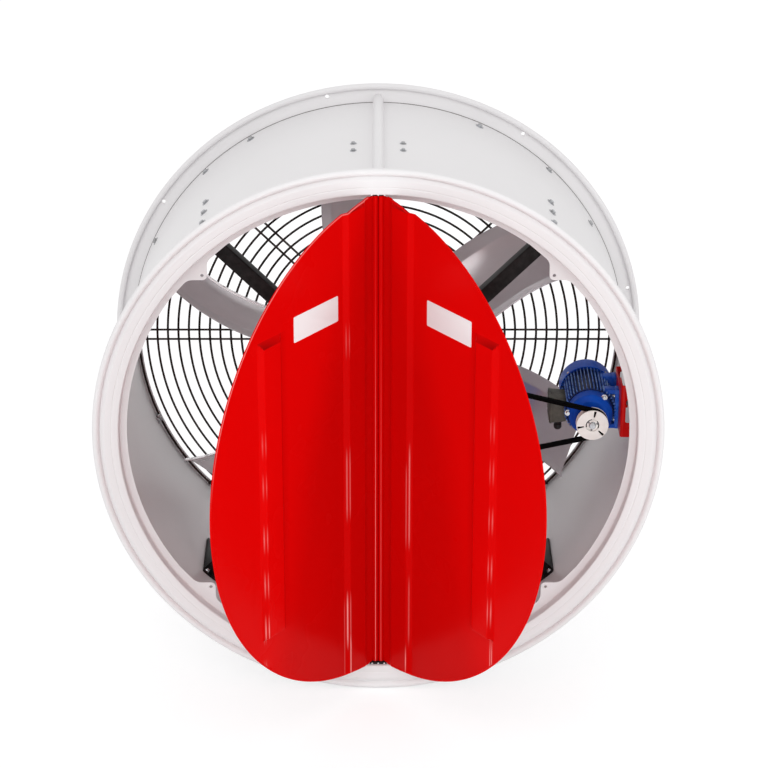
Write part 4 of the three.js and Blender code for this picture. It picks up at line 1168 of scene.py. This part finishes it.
def make_bearing(name, front):
    """A ball bearing with a groove between its rings on both faces."""
    bore, outer, width, groove = 21.2, 36, 18, 1.2
    back = front + width
    marks = [(bore, 0), (bore + 4, 0), (bore + 4.6, groove), (outer - 5, groove), (outer - 4.4, 0), (outer, 0)]
    profile = [(radius, front + depth) for radius, depth in marks]
    profile += [(radius, back - depth) for radius, depth in reversed(marks)]
    form = bmesh.new()
    add_revolve(form, rounded(profile, 0.5, 2), 72)
    piece(f"ball_bearing_{name}", form, plain_steel, "frame", (f"bearing_{name}",))


# Impeller


def make_shaft():
    radius, front, back, edge = 20, behind(SHAFT_FRONT), behind(SHAFT_REAR), 1.5
    form = bmesh.new()
    add_revolve(form, rod_profile(radius, front, back, edge), 72)
    piece("fan_shaft", form, plain_steel, "impeller", ("impeller_shaft",))
    form = bmesh.new()
    add_washer(form, moved(0, front + 0.1, 0) @ QUARTER_TURN, 24, 4)
    add_hex_head(form, moved(0, front - 3.9, 0) @ QUARTER_TURN, 24, 10)
    add_block(form, -4, 4, back - 40, back - 2, radius - 1, radius + 2.5)
    piece("shaft_end_bolt", form, bright_steel, "impeller", smooth=25, bevel=0.4)


def make_hub():
    """A cast hub: boss, web and the rim that carries the blades."""
    centre, bore, boss, inside, half_web, half_boss = behind(IMPELLER), 20.5, 46, HUB - 5, 5, 55
    front, rear = centre - 108, centre + 84
    profile = [
        (bore, centre - half_boss), (boss, centre - half_boss), (boss, centre - half_web),
        (inside, centre - half_web), (inside, front), (HUB, front), (HUB, rear), (inside, rear),
        (inside, centre + half_web), (boss, centre + half_web), (boss, centre + half_boss),
        (bore, centre + half_boss),
    ]
    form = bmesh.new()
    add_revolve(form, rounded(profile, [1, 3, 8, 6, 1.5, 2, 2, 1.5, 6, 8, 3, 1], 4), 120)
    piece("hub_casting", form, cast_iron, "impeller", ("impeller_hub",))
    form = bmesh.new()
    for i in range(6):
        for sign in (-1, 1):
            place = turned(60 * i) @ moved(66, centre + sign * half_web, 0) @ turned(90 * sign, "Z")
            add_bolt(form, place, 16, 8, thread=4 if sign > 0 else 0)
    piece("hub_bolts", form, plain_steel, "impeller", smooth=25)


def along_span(marks, share):
    """Value at a share of the span on the curve through its root, middle and tip values."""
    root, middle, tip = marks
    left = 1 - share
    return root * left * (1 - 2 * share) + middle * 4 * share * left + tip * share * (2 * share - 1)


# Where the blade's two edges lie round the axis, in degrees, at its root, middle and tip
LEAD_SWING = (20.6, 11, -0.5)
TRAIL_SWING = (-30.9, -16.2, -16.5)


def blade_point(share, chord):
    """Radius of a place on the blade, and the middle of its sheet there as an (arc, depth) pair."""
    radius = BLADE_ROOT + share * (BLADE_TIP - BLADE_ROOT)
    lead = Vector((radius * math.radians(along_span(LEAD_SWING, share)), 72 + share * 27))
    trail = Vector((radius * math.radians(along_span(TRAIL_SWING, share)), -96 + share * 44))
    knee = lead.lerp(trail, 0.5).lerp(Vector((trail.x, lead.y)), 0.36)
    middle = lead.lerp(knee, chord).lerp(knee.lerp(trail, chord), chord)
    along = (knee.lerp(trail, chord) - lead.lerp(knee, chord)).normalized()
    length = (lead - trail).length
    for edge, lip, rise in ((chord * length, 34, -9.0), ((1 - chord) * length, 30, 9.0)):
        if edge < lip:
            middle = middle + Vector((-along.y, along.x)) * rise * (1 - edge / lip)
    return radius, middle


def blade_row(share, chords, half_sheet):
    """Section of the blade at a share of its span, round both faces of the sheet."""
    points = [blade_point(share, chord) for chord in chords]
    radius = points[0][0]
    flat = [point for _, point in points]
    faces = ([], [])
    for i, point in enumerate(flat):
        along = (flat[min(i + 1, len(flat) - 1)] - flat[max(i - 1, 0)]).normalized()
        for face, offset in zip(faces, (half_sheet, -half_sheet)):
            angle = (point.x - along.y * offset) / radius
            depth = behind(IMPELLER) + point.y + along.x * offset
            face.append((radius * math.cos(angle), depth, radius * math.sin(angle)))
    return [*faces[0], *reversed(faces[1])]


def make_blade(number):
    """A blade of bent sheet with a folded lip along both edges, and the welds at its foot."""
    spans, half_sheet = 20, 1.5
    chords = [0, 0.03, 0.07, 0.1, 0.115, 0.13, 0.145, 0.16, 0.18, *[0.22 + 0.066 * i for i in range(10)],
              0.86, 0.875, 0.89, 0.905, 0.925, 0.94, 0.96, 0.98, 1]
    place = turned(-43 - 60 * (number - 1))
    form = bmesh.new()
    add_rows(form, [blade_row(s / spans, chords, half_sheet) for s in range(spans + 1)], place)
    piece(f"fan_blade_{number}", form, blade_steel, "impeller", (f"blade_{number}",), bevel=0.5, smooth=24)
    form = bmesh.new()
    bead, radius = circle(3.2), HUB + 1
    for offset in (half_sheet, -half_sheet):
        rows = []
        for chord in [0.04 + 0.92 * i / 20 for i in range(21)]:
            _, point = blade_point(0, chord)
            angle = point.x / BLADE_ROOT
            x, z = radius * math.cos(angle), radius * math.sin(angle)
            y = behind(IMPELLER) + point.y + offset * 0.8
            rows.append([(x + a * 0.9, y + b, z + a * 0.2) for a, b in bead])
        add_rows(form, rows, place)
    piece(f"fan_blade_{number}_weld", form, plain_steel, "impeller")


# Pulleys and belt

FAN_PITCH = 175.5
MOTOR_PITCH = 40.1
BELT_MID = behind(BELT)


def groove_profile(pitch):
    """The groove of a pulley and the rims beside it, from front to back."""
    top, floor = pitch + 4.0, pitch - 9.5
    return [
        (top, BELT_MID - 13), (top, BELT_MID - 9.2), (floor, BELT_MID - 5.8), (floor, BELT_MID + 5.8),
        (top, BELT_MID + 9.2), (top, BELT_MID + 13),
    ]


def make_fan_pulley():
    """A cast pulley with a web of five holes, and a bush held by three bolts."""
    inside, half, boss, boss_front = FAN_PITCH - 20, 4.5, 48, behind(SHAFT_FRONT) + 1
    profile = [
        (20.4, boss_front), (boss, boss_front), (boss, BELT_MID - half), (inside, BELT_MID - half),
        (inside, BELT_MID - 13), *groove_profile(FAN_PITCH), (inside, BELT_MID + 13), (inside, BELT_MID + half),
        (boss, BELT_MID + half), (boss, boss_front + 40), (20.4, boss_front + 40),
    ]
    radii = [1, 3, 7, 7, 1.5, 1, 0.8, 1.5, 1.5, 0.8, 1, 1.5, 7, 7, 3, 1]
    form = bmesh.new()
    add_revolve(form, rounded(profile, radii, 4), 144)
    drill = bmesh.new()
    for i in range(5):
        add_prism(drill, circle(30, 40, (inside + boss) / 2, 0), BELT_MID - 30, BELT_MID + 30, turned(72 * i))
    piece("large_pulley", form, cast_iron, "impeller", ("fan_pulley",), carve=drill)
    form = bmesh.new()
    for i in range(3):
        place = turned(120 * i + 30) @ moved(34, boss_front, 0) @ QUARTER_TURN
        add_bolt(form, place, 10, 4, washer=False)
    piece("large_pulley_bolts", form, plain_steel, "impeller", smooth=25)


def make_motor_pulley():
    """A solid pulley with a flat turned face, a taper bush and three slots."""
    front, back = BELT_MID - 13, BELT_MID + 13
    bore, bush, gap = 9.9, 15.5, 3.0
    slots = (80, 190, 316)
    profile = [
        (bore, front + 0.8), (bush, front + 0.8), (bush, front + 5), (bush + gap, front + 5),
        (bush + gap, front), *groove_profile(MOTOR_PITCH), (bore, back),
    ]
    radii = [0.5, 0.4, 0, 0, 0.4, 0.9, 0.5, 1, 1, 0.5, 0.9, 0.5]
    form, drill, shade = bmesh.new(), bmesh.new(), bmesh.new()
    add_revolve(form, rounded(profile, radii, 3), 96, on_motor())
    for degrees in slots:
        slot = rounded([(23.5, -1.95), (42.2, -3.9), (42.2, 3.9), (23.5, 1.95)], 1.2, 5)
        add_prism(drill, slot, front - 10, front + 3.2, on_motor(-degrees))
        floor = rounded([(23.9, -1.6), (41.8, -3.6), (41.8, 3.6), (23.9, 1.6)], 1, 4)
        add_prism(shade, floor, front + 2.4, front + 3.6, on_motor(-degrees))
    piece("small_pulley", form, pulley_alloy, "motor_rotor", ("motor_pulley",), carve=drill, smooth=30)
    form = bmesh.new()
    screw = [(0, 0), (3.1, 0), (2.8, 0.7), (1.6, 0.7), (1.4, 0.1), (0, 0.1)]
    for degrees in (20, 140, 260):
        spot = on_motor(-degrees) @ moved(bush - 1.5, front + 0.7, 0)
        add_revolve(form, screw, 16, spot @ HALF_TURN)
    piece("small_pulley_screws", form, cast_iron, "motor_rotor")
    for low, high in ((95, 200), (330, 400)):
        ends = [*arc(bush + gap, low, high, 20), *arc(bush, high, low, 20)]
        add_prism(shade, ends, front + 2, front + 5.2, on_motor())
    piece("small_pulley_shade", shade, belt_rubber, "motor_rotor")


def make_belt():
    """A V-belt that runs round both pulleys."""
    lean = math.atan2(MOTOR_Z, MOTOR_X)
    apart = math.hypot(MOTOR_X, MOTOR_Z)
    open_angle = math.acos((FAN_PITCH - MOTOR_PITCH) / apart)
    arcs = [((0, 0), FAN_PITCH, lean + open_angle, FULL - 2 * open_angle, 96),
            ((MOTOR_X, MOTOR_Z), MOTOR_PITCH, lean - open_angle, 2 * open_angle, 40)]
    section = rounded([(3.5, -8.5), (3.5, 8.5), (-7.5, 5.1), (-7.5, -5.1)], 0.9, 3)
    rows = []
    for (x, z), pitch, start, turn, steps in arcs:
        for i in range(steps + 1):
            angle = start + turn * i / steps
            rows.append([(x + (pitch + a) * math.cos(angle), BELT_MID + b, z + (pitch + a) * math.sin(angle))
                         for a, b in section])
    form = bmesh.new()
    add_rows(form, rows, closed_rows=True)
    piece("belt", form, belt_rubber, "frame", ("v_belt",), smooth=25)


# Motor, on its bracket


def fin_outline(core, tip, count, half_foot, half_tip):
    """Cross-section of the finned frame, with each fin tapered and its tip rounded."""
    outline = []
    for i in range(count):
        middle = FULL * i / count
        side, out = Vector((-math.sin(middle), math.cos(middle))), Vector((math.cos(middle), math.sin(middle)))
        marks = [(core, -half_foot), (tip - half_tip, -half_tip), (tip, -half_tip * 0.4), (tip, half_tip * 0.4),
                 (tip - half_tip, half_tip), (core, half_foot)]
        outline += [tuple(out * reach + side * across) for reach, across in marks]
    return outline


def make_motor_frame():
    """The finned frame with a rim at each end, and its feet with their bolts."""
    core, tip, fins, half_foot, half_tip, rim = 62, 72, 44, 1.8, 1.1, 6
    front, back = behind(FRAME_FRONT), behind(FRAME_REAR)
    form, room = bmesh.new(), bmesh.new()
    outline = fin_outline(core, tip, fins, half_foot, half_tip)
    add_prism(form, outline, front, back, on_motor(), holes=[circle(12, 32)])
    for y in (front, back - rim):
        band = [(core - 4, y), (core + 2.5, y), (core + 2.5, y + rim), (core - 4, y + rim)]
        add_revolve(form, rounded(band, 1, 2), 96, on_motor())
    add_block(room, -76, -core + 0.5, behind(222), behind(334), -58, 26, on_motor())
    piece("motor_frame", form, blue_fins, "frame", ("motor_housing",), bevel=0.5, smooth=30, carve=room)
    form, bolts = bmesh.new(), bmesh.new()
    add_block(form, -62.6, -50, behind(244), behind(312), -38, 6, on_motor())
    seat, half = 80, 58
    foot = rounded([(seat - 11, -half), (seat, -half), (seat, half), (seat - 11, half)], [4, 0.5, 0.5, 4], 4)
    for start, web, bolt_z in ((FRAME_FRONT + 6, 12, 36), (FRAME_REAR - 42.3, 34, 14)):
        y0, y1 = behind(start), behind(start + 34)
        add_prism(form, foot, y0, y1, on_motor())
        for side in (-1, 1):
            low, high = sorted((side * (half - web), side * 57.8))
            block = rounded([(34, low), (70, low), (70, high), (34, high)], 2, 3)
            add_prism(form, block, y0 + 2, y1 - 2, on_motor())
            spot = on_motor() @ moved(seat - 10.9, (y0 + y1) / 2, side * bolt_z) @ HALF_TURN
            add_bolt(bolts, spot, 13, 6, thread=6)
    piece("motor_feet", form, blue_paint, "frame", bevel=0.8)
    piece("motor_foot_bolts", bolts, bright_steel, "frame", smooth=25)


def make_front_shield():
    """The shield at the pulley's end, with three lugs and their bolts, and the seal round the shaft."""
    bore, nose, shoulder, outer = 10.5, 27, 48, 61
    rim = outer + 1.5
    front, back = behind(SHIELD_FRONT), behind(FRAME_FRONT) - 0.3
    lug_front = back - 26
    profile = [
        (bore, front), (nose, front), (nose, front + 14), (shoulder, front + 15), (outer, front + 27),
        (rim, back - 8), (rim, back), (bore, back),
    ]
    form, bolts = bmesh.new(), bmesh.new()
    add_revolve(form, rounded(profile, [1, 3, 5, 6, 8, 2, 0.5, 0], 5), 96, on_motor())
    lug = rounded([(54, -9), (65, -8), (65, 8), (54, 9)], [1, 6, 6, 1], 5)
    for i in range(3):
        place = on_motor(-55 - 120 * i)
        add_prism(form, lug, lug_front, back, place)
        add_bolt(bolts, place @ moved(63, lug_front, 0) @ QUARTER_TURN, 10, 5)
    piece("motor_front_shield_casting", form, blue_paint, "frame", ("motor_front_shield",), bevel=0.4,
          smooth=32)
    piece("motor_shield_bolts", bolts, bright_steel, "frame", smooth=25)
    form = bmesh.new()
    seal = [(10.2, front - 0.2), (19, front - 0.2), (18, front - 1.6), (11.5, front - 1.6)]
    add_revolve(form, rounded(seal, 0.4, 2), 48, on_motor())
    piece("motor_shaft_seal", form, black_plastic, "frame")


def make_cowl():
    """The pressed cover of the cooling fan, with two rings of slots in its end."""
    front, back, wall, radius = behind(FRAME_REAR - 8), behind(COWL_REAR), 2, 75
    inside = radius - wall
    profile = [
        (inside, front), (radius, front), (radius, back), (0, back), (0, back - wall), (inside, back - wall),
    ]
    form = bmesh.new()
    add_revolve(form, rounded(profile, [0.6, 0.6, 9, 0, 0, 7], 6), 120, on_motor())
    drill = bmesh.new()
    for inner, outer, count in ((16, 34, 8), (39, 60, 16)):
        slot = rounded([(inner, -2.8), (outer, -3.8), (outer, 3.8), (inner, 2.8)], 2.6, 4)
        for i in range(count):
            add_prism(drill, slot, back - 12, back + 10, on_motor(360 * (i + 0.5) / count))
    piece("motor_cowl_pressing", form, blue_paint, "frame", ("motor_cowl",), carve=drill)
    form = bmesh.new()
    for i in range(4):
        place = on_motor(45 + 90 * i) @ moved(radius - 0.2, front + 6, 0)
        add_pan_head(form, place, 4.2, 2.6)
    piece("motor_cowl_screws", form, bright_steel, "frame", smooth=30)


def make_rear_shield():
    """The disc that closes the frame under the cowl."""
    bore, outer, front = 10.5, 72, behind(FRAME_REAR) + 0.3
    back = front + 8
    profile = rounded([(bore, front), (outer, front), (outer, back), (bore, back)], 1, 3)
    form = bmesh.new()
    add_revolve(form, profile, 96, on_motor())
    piece("motor_rear_shield_casting", form, blue_paint, "frame", ("motor_rear_shield",))


def make_cooling_fan():
    """A moulded disc on a hub, with six straight blades."""
    bore, hub, disc, front = 9.9, 18, 60, behind(FRAME_REAR) + 13.3
    back = front + 22
    profile = [(bore, front), (disc, front), (disc, front + 3), (hub, front + 3), (hub, back), (bore, back)]
    form = bmesh.new()
    add_revolve(form, rounded(profile, [0, 1, 1, 2, 1, 0], 3), 72, on_motor())
    blade = [(hub - 1, -1.5), (disc - 1, -1.0), (disc - 1, 1.0), (hub - 1, 1.5)]
    for i in range(6):
        add_prism(form, blade, front + 1, back, on_motor(60 * i))
    piece("motor_fan", form, black_plastic, "motor_rotor", ("motor_cooling_fan",), bevel=0.3)


def make_spindle():
    """The motor's shaft, with the key of the pulley."""
    form = bmesh.new()
    start, end = behind(104), behind(COWL_REAR) - 10
    add_revolve(form, rod_profile(9.5, start, end, 1), 48, on_motor())
    add_block(form, -3, 3, start + 3, start + 30, 7, 11, on_motor(20))
    piece("motor_spindle", form, plain_steel, "motor_rotor", ("motor_shaft",))


def add_moulding(form, y0, y1, z0, z1, levels, corner):
    """A box of rounded sections beside the motor. A level is (x, how far its section is drawn in)."""
    rows = []
    for x, inset in levels:
        low, high, front, back = z0 + inset, z1 - inset, y0 + inset, y1 - inset
        section = rounded([(front, low), (back, low), (back, high), (front, high)], corner, 5)
        rows.append([(x, y, z) for y, z in section])
    add_rows(form, rows, on_motor())


def make_terminal_box():
    """The box at the motor's side with its two glands' bosses, and its cover with four screws."""
    y0, y1, z0, z1 = behind(232), behind(324), -50, 18
    form = bmesh.new()
    add_moulding(form, y0, y1, z0, z1, ((-63, 3), (-80, 1.5), (-100, 0), (-103.7, 0)), 6)
    for y in (y0 + 24, y1 - 24):
        spot = on_motor() @ moved(-85, y, z0 + 1) @ turned(-90, "X")
        add_revolve(form, [(0, 0), (11, 0), (10, 5), (0, 5)], 32, spot)
    piece("terminal_housing", form, box_grey, "frame", ("terminal_box",), bevel=0.5, smooth=35)
    form = bmesh.new()
    add_moulding(form, y0 - 2, y1 + 2, z0 - 2, z1 + 2, ((-104, 0), (-108, 0), (-111, 3.5)), 7)
    piece("terminal_cover", form, box_grey, "frame", ("terminal_box_lid",), bevel=0.5, smooth=35)
    form = bmesh.new()
    for y in (y0 + 7, y1 - 7):
        for z in (z0 + 6, z1 - 6):
            add_pan_head(form, on_motor() @ moved(-110.6, y, z) @ HALF_TURN, 3.6, 2.0)
    piece("terminal_cover_screws", form, plain_steel, "frame", smooth=30)


def make_gland():
    """The cable gland under the terminal box: two hexagons, a thread between them and a domed nut."""
    form = bmesh.new()
    place = on_motor() @ moved(-85, behind(256), -50.3) @ turned(-90, "X")
    thread = [(0, 5)]
    for i in range(4):
        thread += [(9, 5 + 1.5 * i), (8.2, 5.75 + 1.5 * i)]
    thread += [(9, 11.2), (0, 11.2)]
    add_prism(form, circle(12, 6), 0, 6, place)
    add_revolve(form, thread, 32, place)
    add_prism(form, circle(12, 6, start=0.3), 11, 18.5, place)
    dome = [(5, 18), (11.4, 18), (11, 21.5), (9, 25), (6.5, 27), (5, 27), (4.6, 24)]
    add_revolve(form, dome, 36, place)
    piece("gland", form, black_plastic, "frame", ("cable_gland",), bevel=0.4)


def make_bracket():
    """Folded plate under the motor's feet. Its folds are round, and its feet follow the drum's wall."""
    face, steel, fold, top, bottom, rear_top = 668.3, 4, 9, 90, -65, 62
    front = behind(155)
    back = front + 200
    wall = DRUM_INNER - 0.4
    rim, inside = wall - 8, face + steel
    near, far = front + steel, back - steel
    outline = []
    for corners, bend in (
        ([(rim, front), (face, front), (face, back), (rim, back)], fold),
        ([(rim, far), (inside, far), (inside, near), (rim, near)], fold - steel),
    ):
        outline += rounded(corners, [0, bend, bend, 0], 8, closed=False)
    form, drill = bmesh.new(), bmesh.new()
    add_upright(form, outline, bottom, top)
    near, far, low, high = face + 14, face + 34, -22.5, 47.5
    add_prism(drill, rounded([(near, low), (far, low), (far, high), (near, high)], 6, 5), front - 20, back + 20)
    add_block(drill, face - 20, wall + 20, front + 60, back + 20, rear_top, top + 20)
    piece("motor_plate", form, red_paint, "frame", ("motor_bracket",), carve=drill, bevel=0.5, smooth=24)
    form, bolts = bmesh.new(), bmesh.new()
    for y0, bolt_y, height in ((front, front + 16, top), (back - 26, back - 16, rear_top)):
        middle, half = (height + bottom) / 2, (height - bottom) / 2 - 1
        spot = turned(-math.degrees(math.asin(middle / DRUM_INNER)))
        curved_plate(form, spot, wall - steel, wall, half, y0, y0 + 26, 3)
        for z in (-42, -14, 14, 42):
            spot = turned(-math.degrees(math.asin((z + middle) / DRUM_INNER)))
            add_bolt(bolts, spot @ moved(wall - steel + 0.1, bolt_y, 0) @ HALF_TURN, 13, 7, thread=6)
    piece("motor_plate_feet", form, red_paint, "frame", bevel=0.4)
    piece("motor_plate_bolts", bolts, plain_steel, "frame", smooth=25)


# Guard

WIRE = 3
WIRE_COAT = 0.3
RING_Y = -6.3
SPOKE_Y = -12.6


def make_guard():
    """Rings of wire, and eight pairs of spokes, each bent from one wire round its inner end."""
    form = bmesh.new()
    section = circle(WIRE + WIRE_COAT)
    for radius in [64 + 31 * i for i in range(21)] + [708.5]:
        sides = max(48, int(radius * 0.26) // 8 * 8)
        add_sweep(form, [(x, RING_Y, z) for x, z in circle(radius, sides)], section, closed=True)
    piece("guard_wire_rings", form, guard_wire, "frame", ("guard_rings",))
    half_gap, inner, middle, outer = 15, 56, 400, 711
    path = [
        (outer, -half_gap), (middle, -half_gap), *arc(half_gap, -90, -270, 14, inner + half_gap),
        (middle, half_gap), (outer, half_gap),
    ]
    for i in range(8):
        form = bmesh.new()
        y = SPOKE_Y if i else SPOKE_Y + 0.3
        add_sweep(form, [(x, y, z) for x, z in path], section, place=turned(90 + 45 * i))
        nodes = (f"guard_spokes_{i}",) if i else ()  # the frame has the lowest pair in one solid with the rings
        piece(f"guard_spoke_pair_{i}", form, guard_wire, "frame", nodes)


def make_guard_clips():
    """Bent clips on the drum's wall that hold the guard's outer ring, each with a screw."""
    outer, finger, back = 714.98, -12.6, -9.6
    inner, foot = outer - 3, finger - 18
    tip = inner - 11
    outline = [(tip, back), (outer, back), (outer, foot), (inner, foot), (inner, finger), (tip, finger)]
    outline = rounded(outline, [0.5, 4, 0.5, 0.5, 1.5, 0.5], 4)
    for i in range(8):
        form = bmesh.new()
        place = turned((i + 0.5) * 45)
        add_upright(form, outline, -11, 11, place)
        add_pan_head(form, place @ moved(inner + 0.1, finger - 9, 0) @ HALF_TURN, 5, 3)
        piece(f"clip_{i + 1}", form, plain_steel, "frame", (f"guard_clip_{i + 1}",), bevel=0.3, smooth=30)


def make_fan():
    make_drum()
    make_seam_cover()
    make_front_ring()
    make_rear_flange()
    make_flange_joint_shade()
    make_drum_fasteners()
    make_leaf("left", -1)
    make_leaf("right", 1)
    make_hinge_rod("left", -1)
    make_hinge_rod("right", 1)
    make_hinge_block("top", 0, 15.4)
    make_hinge_block("bottom", 180, 8)
    make_hinge_gap_shade()
    for name, turn, side in (("upper_right", -45, 1), ("upper_left", -135, -1), ("lower_right", 45, -1),
                             ("lower_left", 135, 1)):
        make_brace(name, turn, side)
    make_bearing_plate()
    make_bearing_housing()
    make_bearing("front", behind(HOUSING_FRONT))
    make_bearing("rear", behind(HOUSING_REAR) - 18)
    make_shaft()
    make_hub()
    for number in range(1, 7):
        make_blade(number)
    make_fan_pulley()
    make_motor_pulley()
    make_belt()
    make_motor_frame()
    make_front_shield()
    make_cowl()
    make_rear_shield()
    make_cooling_fan()
    make_spindle()
    make_terminal_box()
    make_gland()
    make_bracket()
    make_guard()
    make_guard_clips()


# Floor, background, lamps and camera


def show_by_ray(tree, unseen, seen, out):
    """Puts out the seen shader for rays that meet it straight on, in a reflection or through glass."""
    path, mix = add_node(tree, "LightPath"), add_node(tree, "MixShader")
    first, second = add_math(tree, "MAXIMUM"), add_math(tree, "MAXIMUM")
    connect(
        tree, (path, "Is Camera Ray", first, 0), (path, "Is Glossy Ray", first, 1), (first, "Value", second, 0),
        (path, "Is Transmission Ray", second, 1), (second, "Value", mix, 0), (unseen, 0, mix, 1),
        (seen, 0, mix, 2), (mix, 0, out, "Surface"),
    )


def make_background(ambient):
    world = bpy.data.worlds.new("studio")
    bpy.context.scene.world = world
    world.use_nodes = True
    tree = world.node_tree
    tree.nodes.clear()
    white = (1, 1, 1, 1)
    lit = add_node(tree, "Background", Color=white, Strength=ambient)
    seen = add_node(tree, "Background", Color=white, Strength=1.0)
    show_by_ray(tree, lit, seen, add_node(tree, "OutputWorld"))


def make_floor():
    """A pale floor that shows white and keeps the fan's shadow."""
    form = bmesh.new()
    size, level = 40000, -775.5
    corners = ((-size, -size), (size, -size), (size, size), (-size, size))
    form.faces.new([form.verts.new((x, y, level)) for x, y in corners])
    floor = new_object("floor", mesh_from(form, "floor", 30))
    made = bpy.data.materials.new("white floor")
    made.use_nodes = True
    tree = made.node_tree
    tree.nodes.clear()
    body = add_node(tree, "BsdfDiffuse", Color=(0.85, 0.85, 0.85, 1))
    seen_body = add_node(tree, "BsdfDiffuse", Color=(0.45, 0.445, 0.45, 1))
    glow, both = add_node(tree, "Emission", Strength=0.66), add_node(tree, "AddShader")
    connect(tree, (seen_body, 0, both, 0), (glow, 0, both, 1))
    show_by_ray(tree, body, both, add_node(tree, "OutputMaterial"))
    floor.data.materials.append(made)


def make_lamp(name, place, aim, width, power):
    lamp = bpy.data.lights.new(name, "AREA")
    lamp.shape = "SQUARE"
    lamp.size = width
    lamp.energy = power
    holder = new_object(name, lamp)
    holder.location = place
    holder.rotation_euler = (Vector(aim) - Vector(place)).to_track_quat("-Z", "Y").to_euler()


def make_camera():
    """The photograph's view: from the middle, 24 degrees above the drum's axis."""
    camera = bpy.data.cameras.new("camera")
    camera.sensor_width = 36
    camera.lens = 124.65
    camera.shift_x = 0.00755
    camera.clip_end = 200
    holder = new_object("camera", camera)
    holder.location = (0, -7.254, 3.0661)
    holder.rotation_euler = (math.radians(90 - 24.02), 0, 0)
    bpy.context.scene.camera = holder


make_fan()
make_floor()
make_background(0.82)
make_lamp("key", (-2.4, -5.0, 4.4), (0, -0.5, 0), 3.6, 58)
make_lamp("fill", (4.4, -4.0, 2.4), (0, -0.6, 0), 3.6, 40)
make_lamp("front", (0.2, -5.4, -0.5), (0, -0.6, -0.35), 2.6, 68)
make_camera()
bpy.context.scene.view_settings.view_transform = "Standard"
